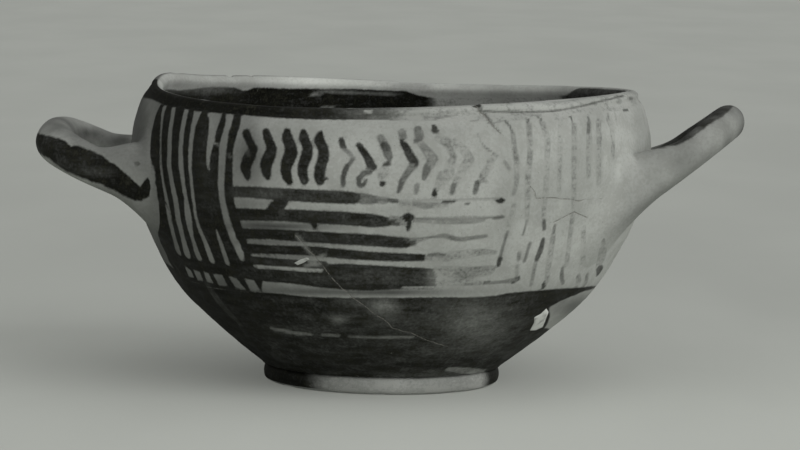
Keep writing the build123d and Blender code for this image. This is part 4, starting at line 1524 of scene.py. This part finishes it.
def left_handle_paint(pixels, share, turned, radius):
    """Black on the outer side between a worn top and a reserved underside, with painted shade on the near
    arm's top and on the far arm.
    """
    edge, spot = left_handle_black(pixels, share, turned, radius)
    rubbed = blot(pixels, *LEFT_RUBBED) + 1.4 * blot(pixels, *LEFT_SCUFF)
    strength = 0.985 - 0.10 * rubbed + 0.04 * arm_noise(share, turned / 14, *LEFT_WASH_CELLS)
    strength = np.where(spot < edge, LEFT_SPOT_STRENGTH, strength)
    wear = 0.12 + 0.08 * arm_noise(share, turned / 9, *LEFT_WEAR_CELLS) + 0.1 * bell(turned, -40, 16)
    # Painted shade on the far arm, where the near arm's edge hides it
    far_arm_shade = blot(pixels, *LEFT_FAR_ARM_SHADE) + blot(pixels, *LEFT_FAR_SHADE) * smooth_step(share, 0.45, 0.6)
    # Painted shade: the near arm's top is darker
    near_top = smooth_step(turned, 15, 60) * smooth_drop(share, *LEFT_TURNOVER)
    tone = 0.80 - 0.28 * near_top - 0.4 * far_arm_shade + 0.14 * arm_noise(share, turned / 12, *LEFT_TONE_CELLS)
    return np.minimum(edge, spot), strength, wear, tone, FAR, FAR


def right_handle_paint(pixels, share, turned, radius):
    """Nearly bare on the near side, with thin black left along the top and on the inner side."""
    hidden = FAR * smooth_step(share, *RIGHT_TURNOVER) * smooth_drop(np.abs(turned), 80, 110)
    band = pixel_gap(pixels, RIGHT_LOWER) + 0.25 * arm_noise(share, turned * 0, *RIGHT_EDGE_CELLS) + hidden
    inner = (RIGHT_INNER_FROM - np.abs(turned)) * math.radians(radius)
    strength = 0.78 + 0.14 * arm_noise(share, turned / 14, *RIGHT_WASH_CELLS)
    wear = 0.2 + 0.1 * arm_noise(share, turned / 12, *RIGHT_WEAR_CELLS)
    # Painted shade: darker towards the tip and underneath
    tone = 0.72 - 0.22 * smooth_step(share, *RIGHT_SHADE)
    tone += 0.12 * arm_noise(share, turned / 20, *RIGHT_TONE_CELLS)
    tone -= 0.1 * bell(turned, *RIGHT_UNDERSIDE_SHADE)
    return np.minimum(band, inner), strength, wear, tone, FAR, FAR


# A plaster fill's rings from its outline to its middle, and the grain of its face
FILL_RINGS = 12
FILL_GRAIN = 0.05
FILL_GRAIN_CELLS = (60, 0.9, 91)


def build_fill(name, node, outline, proud, tone, material):
    """A plaster fill: a low cushion over its outline that dips into the wall at its edge."""
    corners = closed_on_wall(outline, FILL_STEP)
    centre = corners.mean(0)
    points = []
    for share in np.linspace(1, 0, FILL_RINGS, endpoint=False):
        ring = centre + (corners - centre) * share
        grain = FILL_GRAIN * noise(ring[:, 0] * 40, ring[:, 1], *FILL_GRAIN_CELLS)
        lift = proud * (1 - share**6) - 0.5 * share**12 + grain * (1 - share**4)
        points.append(OUTSIDE.point(ring[:, 0], ring[:, 1], lift))
    rings = ring_numbers(FILL_RINGS, len(corners))
    faces = ring_stack_faces(rings) + [rings[-1].tolist()]
    rim, spots = points[0], np.concatenate(points)
    facing = np.cross(rim - rim.mean(0), np.roll(rim, -1, axis=0) - rim.mean(0)).sum(0)
    if facing[0] * rim[:, 0].mean() + facing[1] * rim[:, 1].mean() < 0:
        faces = [face[::-1] for face in faces]
    dress(mesh_piece(name, spots, faces, {"tone": np.full(len(spots), tone)}, material), "plaster", node)


class Nodes:
    """The node tree of a material or a world. An input may be a value or a node's output."""

    def __init__(self, owner, surface="Principled BSDF"):
        owner.use_nodes = True
        self.tree = owner.node_tree
        self.surface = self.tree.nodes[surface]

    def add(self, kind, inputs=None, **settings):
        node = self.tree.nodes.new(kind)
        for key, value in settings.items():
            setattr(node, key, value)
        self.feed(node, inputs or {})
        return node

    def feed(self, node, inputs):
        for key, value in inputs.items():
            if isinstance(value, bpy.types.NodeSocket):
                self.tree.links.new(value, node.inputs[key])
            else:
                node.inputs[key].default_value = value

    def value(self, name):
        return self.add("ShaderNodeAttribute", attribute_name=name).outputs["Fac"]

    def math(self, operation, a, b=0.0, c=0.0):
        return self.add("ShaderNodeMath", {0: a, 1: b, 2: c}, operation=operation).outputs[0]

    def product(self, first, *others):
        for other in others:
            first = self.math("MULTIPLY", first, other)
        return first

    def total(self, start, *parts):
        """Start plus each part's value times its weight."""
        for value, weight in parts:
            start = self.math("MULTIPLY_ADD", value, weight, start)
        return start

    def blend(self, noises, weights):
        """Sum of named noises, each times its weight."""
        return self.total(0.0, *((noises[key], weight) for key, weight in weights.items()))

    def ramp(self, value, start, end, low=0.0, high=1.0):
        """Smooth change from low to high as a value goes from start to end."""
        inputs = {"Value": value, "From Min": start, "From Max": end, "To Min": low, "To Max": high}
        return self.add("ShaderNodeMapRange", inputs, interpolation_type="SMOOTHSTEP").outputs[0]

    def place(self):
        return self.add("ShaderNodeTexCoord").outputs["Object"]

    def stretched(self, scale=(1, 1, 1)):
        """Place in millimetres, squeezed along each axis."""
        inputs = {"Vector": self.place(), "Scale": [s / MM for s in scale]}
        return self.add("ShaderNodeMapping", inputs).outputs[0]

    def noise(self, scale, detail=3.0, roughness=0.55, stretch=(1, 1, 1)):
        """Noise with features about 1 / scale millimetres across."""
        inputs = {"Vector": self.stretched(stretch), "Scale": scale, "Detail": detail, "Roughness": roughness}
        return self.add("ShaderNodeTexNoise", inputs).outputs["Fac"]

    def mix(self, share, first, second):
        node = self.add("ShaderNodeMix", data_type="RGBA")
        self.feed(node, {0: share, 6: first, 7: second})
        return node.outputs[2]

    def scaled(self, colour, factor):
        return self.add("ShaderNodeVectorMath", {0: colour, "Scale": factor}, operation="SCALE").outputs[0]

    def seen_as(self, other, share, output):
        """Show another shader to the camera by a share, and the surface to everything else."""
        both = self.add("ShaderNodeMixShader", {0: share, 1: self.surface.outputs[0], 2: other.outputs[0]})
        self.feed(self.tree.nodes[output], {"Surface": both.outputs[0]})

    def camera_ray(self):
        return self.add("ShaderNodeLightPath").outputs["Is Camera Ray"]

    def finish(self, colour, roughness, height):
        """Colour, roughness and height in millimetres onto the surface."""
        bump = self.add("ShaderNodeBump", {"Strength": 1.0, "Distance": MM, "Height": height})
        self.feed(self.surface, {"Base Color": colour, "Roughness": roughness, "Normal": bump.outputs[0]})


# Colours in linear light
CLAY = (0.297, 0.308, 0.285, 1)
CLAY_PALE = (0.352, 0.363, 0.338, 1)
CLAY_DARK = (0.165, 0.165, 0.145, 1)
SLIP = (0.0034, 0.0037, 0.0024, 1)
SLIP_THIN = (0.0205, 0.0208, 0.0150, 1)
DUST = (0.190, 0.186, 0.165, 1)
PLASTER = (0.54, 0.555, 0.52, 1)
PLASTER_GREY = (0.28, 0.285, 0.265, 1)
CLAY_GLOSS = 0.07

# Noise in the clay and its slip: features per millimetre, detail, roughness and stretch
CLAY_NOISE = {
    "fine": (1.3, 3.0), "middle": (0.28, 4.0, 0.6), "broad": (0.06, 3.0),
    "streaks": (0.8, 4.0, 0.6, (0.16, 0.16, 0.9)), "grain": (5.0, 2.0, 0.6),
}
SPECK_SCALE = 0.62

# How much of each noise makes the slip's edge wander, flake and lie unevenly, and makes the clay's relief
EDGE_WANDER = {"grain": 0.25, "fine": 0.5, "middle": 0.4}
FLAKING = {"streaks": 0.33, "fine": 0.30, "middle": 0.42}
UNEVENNESS = {"middle": 0.5, "streaks": 0.3, "fine": 0.5}
RELIEF = {"grain": 0.022, "fine": 0.05, "streaks": 0.02}

# How softly the slip ends at its edge and at a flake
SLIP_EDGE = (0.38, -0.32)
FLAKE_EDGE = (0.06, -0.05)


def slip_cover(s, n):
    """How much slip hides the clay: its ragged edge, its flaking, and its brushed thin places."""
    strength = s.value("strength")
    wander = s.math("SUBTRACT", s.blend(n, EDGE_WANDER), 0.575)
    covered = s.ramp(s.math("ADD", s.value("paint"), wander), *SLIP_EDGE)
    limit = s.total(0.80, (s.value("wear"), -0.42))
    kept = s.ramp(s.math("SUBTRACT", s.blend(n, FLAKING), limit), *FLAKE_EDGE)
    uneven = s.math("SUBTRACT", s.blend(n, UNEVENNESS), 0.65)
    uneven = s.product(uneven, s.math("SUBTRACT", 1.25, strength))
    wash = s.math("MINIMUM", s.total(strength, (uneven, 2.3)), 1.0)
    return s.product(covered, kept, s.math("MAXIMUM", wash, 0.0))


def clay_specks(s, n):
    """Small dark grits in the clay."""
    cells = s.add("ShaderNodeTexVoronoi", {"Vector": s.stretched(), "Scale": SPECK_SCALE})
    return s.product(s.ramp(cells.outputs["Distance"], 0.16, 0.06), s.ramp(n["grain"], 0.5, 0.62))


def clay_colour(s, n, speck):
    """Buff clay, clouded and gritty, and lighter or darker by the mesh's tone."""
    clay = s.mix(s.ramp(n["broad"], 0.35, 0.68), CLAY, CLAY_PALE)
    clay = s.mix(s.ramp(s.product(n["middle"], n["fine"]), 0.32, 0.16, 0.0, 0.22), clay, CLAY_DARK)
    return s.scaled(s.mix(s.product(speck, 0.6), clay, CLAY_DARK), s.value("tone"))


def break_line(s, n):
    """The dusty line along a break."""
    side = s.ramp(s.math("ABSOLUTE", s.value("break_side")), 0.24, 0.08)
    return s.product(side, s.ramp(s.value("break_near"), 0.9, 0.5), s.ramp(n["fine"], 0.34, 0.56))


def painted_clay():
    """Buff clay under flaking dark slip, driven by the values on the mesh."""
    material = bpy.data.materials.new("painted_clay")
    s = Nodes(material)
    n = {key: s.noise(*settings) for key, settings in CLAY_NOISE.items()}
    cover, speck, line = slip_cover(s, n), clay_specks(s, n), break_line(s, n)
    slip = s.mix(s.ramp(s.product(n["middle"], n["fine"]), 0.20, 0.42), SLIP, SLIP_THIN)
    colour = s.mix(s.product(line, 0.7), s.mix(cover, clay_colour(s, n, speck), slip), DUST)
    roughness = s.total(0.86, (cover, -0.20), (s.math("SUBTRACT", n["middle"], 0.5), 0.24))
    height = s.total(s.blend(n, RELIEF), (cover, 0.02), (speck, -0.05), (line, -0.14))
    s.surface.inputs["Specular IOR Level"].default_value = CLAY_GLOSS
    s.finish(colour, roughness, height)
    return material


def plaster():
    """Chalky white mending plaster with a few grey smudges."""
    material = bpy.data.materials.new("mending_plaster")
    s = Nodes(material)
    fine, middle = s.noise(2.2, 4.0, 0.65), s.noise(0.6, 3.0)
    colour = s.scaled(s.mix(s.ramp(middle, 0.46, 0.76), PLASTER, PLASTER_GREY), s.value("tone"))
    s.finish(colour, s.ramp(fine, 0.3, 0.7, 0.85, 0.97), s.total(0.0, (middle, 0.15), (fine, 0.10)))
    return material


# The studio: the tones of the floor and backdrop, how the floor clouds, the painted shade that darkens it
# with depth, and how much of it the camera sees by its own glow, which keeps the shadow pale
BACKDROP = (0.352, 0.366, 0.336, 1)
FLOOR = (0.456, 0.474, 0.436)
FLOOR_HALF = 16.0
FLOOR_ROUGHNESS = 0.95
CLOUDING = 0.03
CLOUD_NOISE = (0.012, 3.0, 0.5, (1, 0.35, 1))
FLOOR_FALLOFF = (-0.12, 0.25, 1.15, 0.92)
FLOOR_GLOW = 0.74
GLOW_SHARE = 0.27

# The lamps: a wide sun, and a room that is brighter on one side
SUN_DIRECTION = (0.70, -0.62, 0.42)
SUN_STRENGTH = 1.25
SUN_SPREAD = 50.0
BRIGHT_SIDE = (0.56, -0.70, -0.44)
SKY_STRENGTHS = (0.14, 1.42)
WHITE = (1, 1, 1, 1)


def floor_paper():
    """Faintly clouded pale paper, with painted shade that darkens it with depth."""
    material = bpy.data.materials.new("floor_paper")
    s = Nodes(material)
    cloud = s.ramp(s.noise(*CLOUD_NOISE), 0.3, 0.7)
    shades = [[*(c * (1 + change) for c in FLOOR), 1] for change in (-CLOUDING, CLOUDING)]
    depth = s.add("ShaderNodeSeparateXYZ", {0: s.place()}).outputs["Y"]
    # Painted shade: the floor darkens towards the back
    shade = s.scaled(s.mix(cloud, *shades), s.ramp(depth, *FLOOR_FALLOFF))
    s.finish(shade, FLOOR_ROUGHNESS, s.product(s.noise(0.35, 4.0, 0.6), 0.05))
    glow = s.add("ShaderNodeEmission", {"Color": shade, "Strength": FLOOR_GLOW})
    s.seen_as(glow, s.product(s.camera_ray(), GLOW_SHARE), "Material Output")
    return material


def build_floor():
    """A wide plain floor."""
    corners = [(x * FLOOR_HALF, y * FLOOR_HALF, 0) for x, y in ((-1, -1), (1, -1), (1, 1), (-1, 1))]
    mesh = bpy.data.meshes.new("floor")
    mesh.from_pydata(corners, [], [(0, 1, 2, 3)])
    mesh.materials.append(floor_paper())
    add_object("floor", mesh)


def build_lights():
    """Soft light from the right, in front and above."""
    sun = bpy.data.lights.new("window_light", "SUN")
    sun.energy = SUN_STRENGTH
    sun.angle = math.radians(SUN_SPREAD)
    lamp = add_object("window_light", sun)
    lamp.rotation_euler = Vector(SUN_DIRECTION).to_track_quat("Z", "Y").to_euler()

    world = bpy.data.worlds.new("room")
    bpy.context.scene.world = world
    s = Nodes(world, "Background")
    inputs = {0: s.add("ShaderNodeTexCoord").outputs["Generated"], 1: BRIGHT_SIDE}
    facing = s.add("ShaderNodeVectorMath", inputs, operation="DOT_PRODUCT").outputs["Value"]
    low, high = SKY_STRENGTHS
    inputs = {"Value": facing, "From Min": -1.0, "To Min": low, "To Max": high}
    s.feed(s.surface, {"Color": WHITE, "Strength": s.add("ShaderNodeMapRange", inputs).outputs[0]})
    s.seen_as(s.add("ShaderNodeBackground", {"Color": BACKDROP}), s.camera_ray(), "World Output")


def build_camera():
    """The camera that sees the cup as the photograph does."""
    place, right, up, forward = camera_axes()
    data = bpy.data.cameras.new("camera")
    data.lens = CAMERA_LENS
    data.sensor_width = SENSOR_WIDTH
    data.clip_start, data.clip_end = CAMERA_RANGE
    camera = add_object("camera", data)
    turn = Matrix((right, up, -forward)).transposed().to_4x4()
    camera.matrix_world = Matrix.Translation(Vector(place * MM)) @ turn
    bpy.context.scene.camera = camera


clay = painted_clay()
build_camera()
build_bowl(clay)
build_foot(clay)
Handle(
    "handle_left", side=-1, root_height=50.2, tilt=22.4, spread=50.0, roll=-1.0, thickness=9.8,
    fillets=(6.0, 3.4), shoulders=((6.0, 5.0, 17.0), (3.4, 4.0, 17.0)),
).build(clay, left_handle_paint)
Handle(
    "handle_right", side=1, root_height=46.05, tilt=37.9, spread=58.0, roll=-4.0, thickness=8.4,
    fillets=(8.6, 0.0), shoulders=((4.6, 9.0, 24.0), (3.5, 9.0, 24.0)),
).build(clay, right_handle_paint)
white = plaster()
build_fill("plaster_patch_right", "plaster_fill_right", FILL_RIGHT, proud=0.25, tone=0.97, material=white)
build_fill("plaster_patch_front", "plaster_fill_front", FILL_FRONT, proud=0.15, tone=0.80, material=white)
build_floor()
build_lights()
bpy.context.scene.view_settings.view_transform = "Standard"
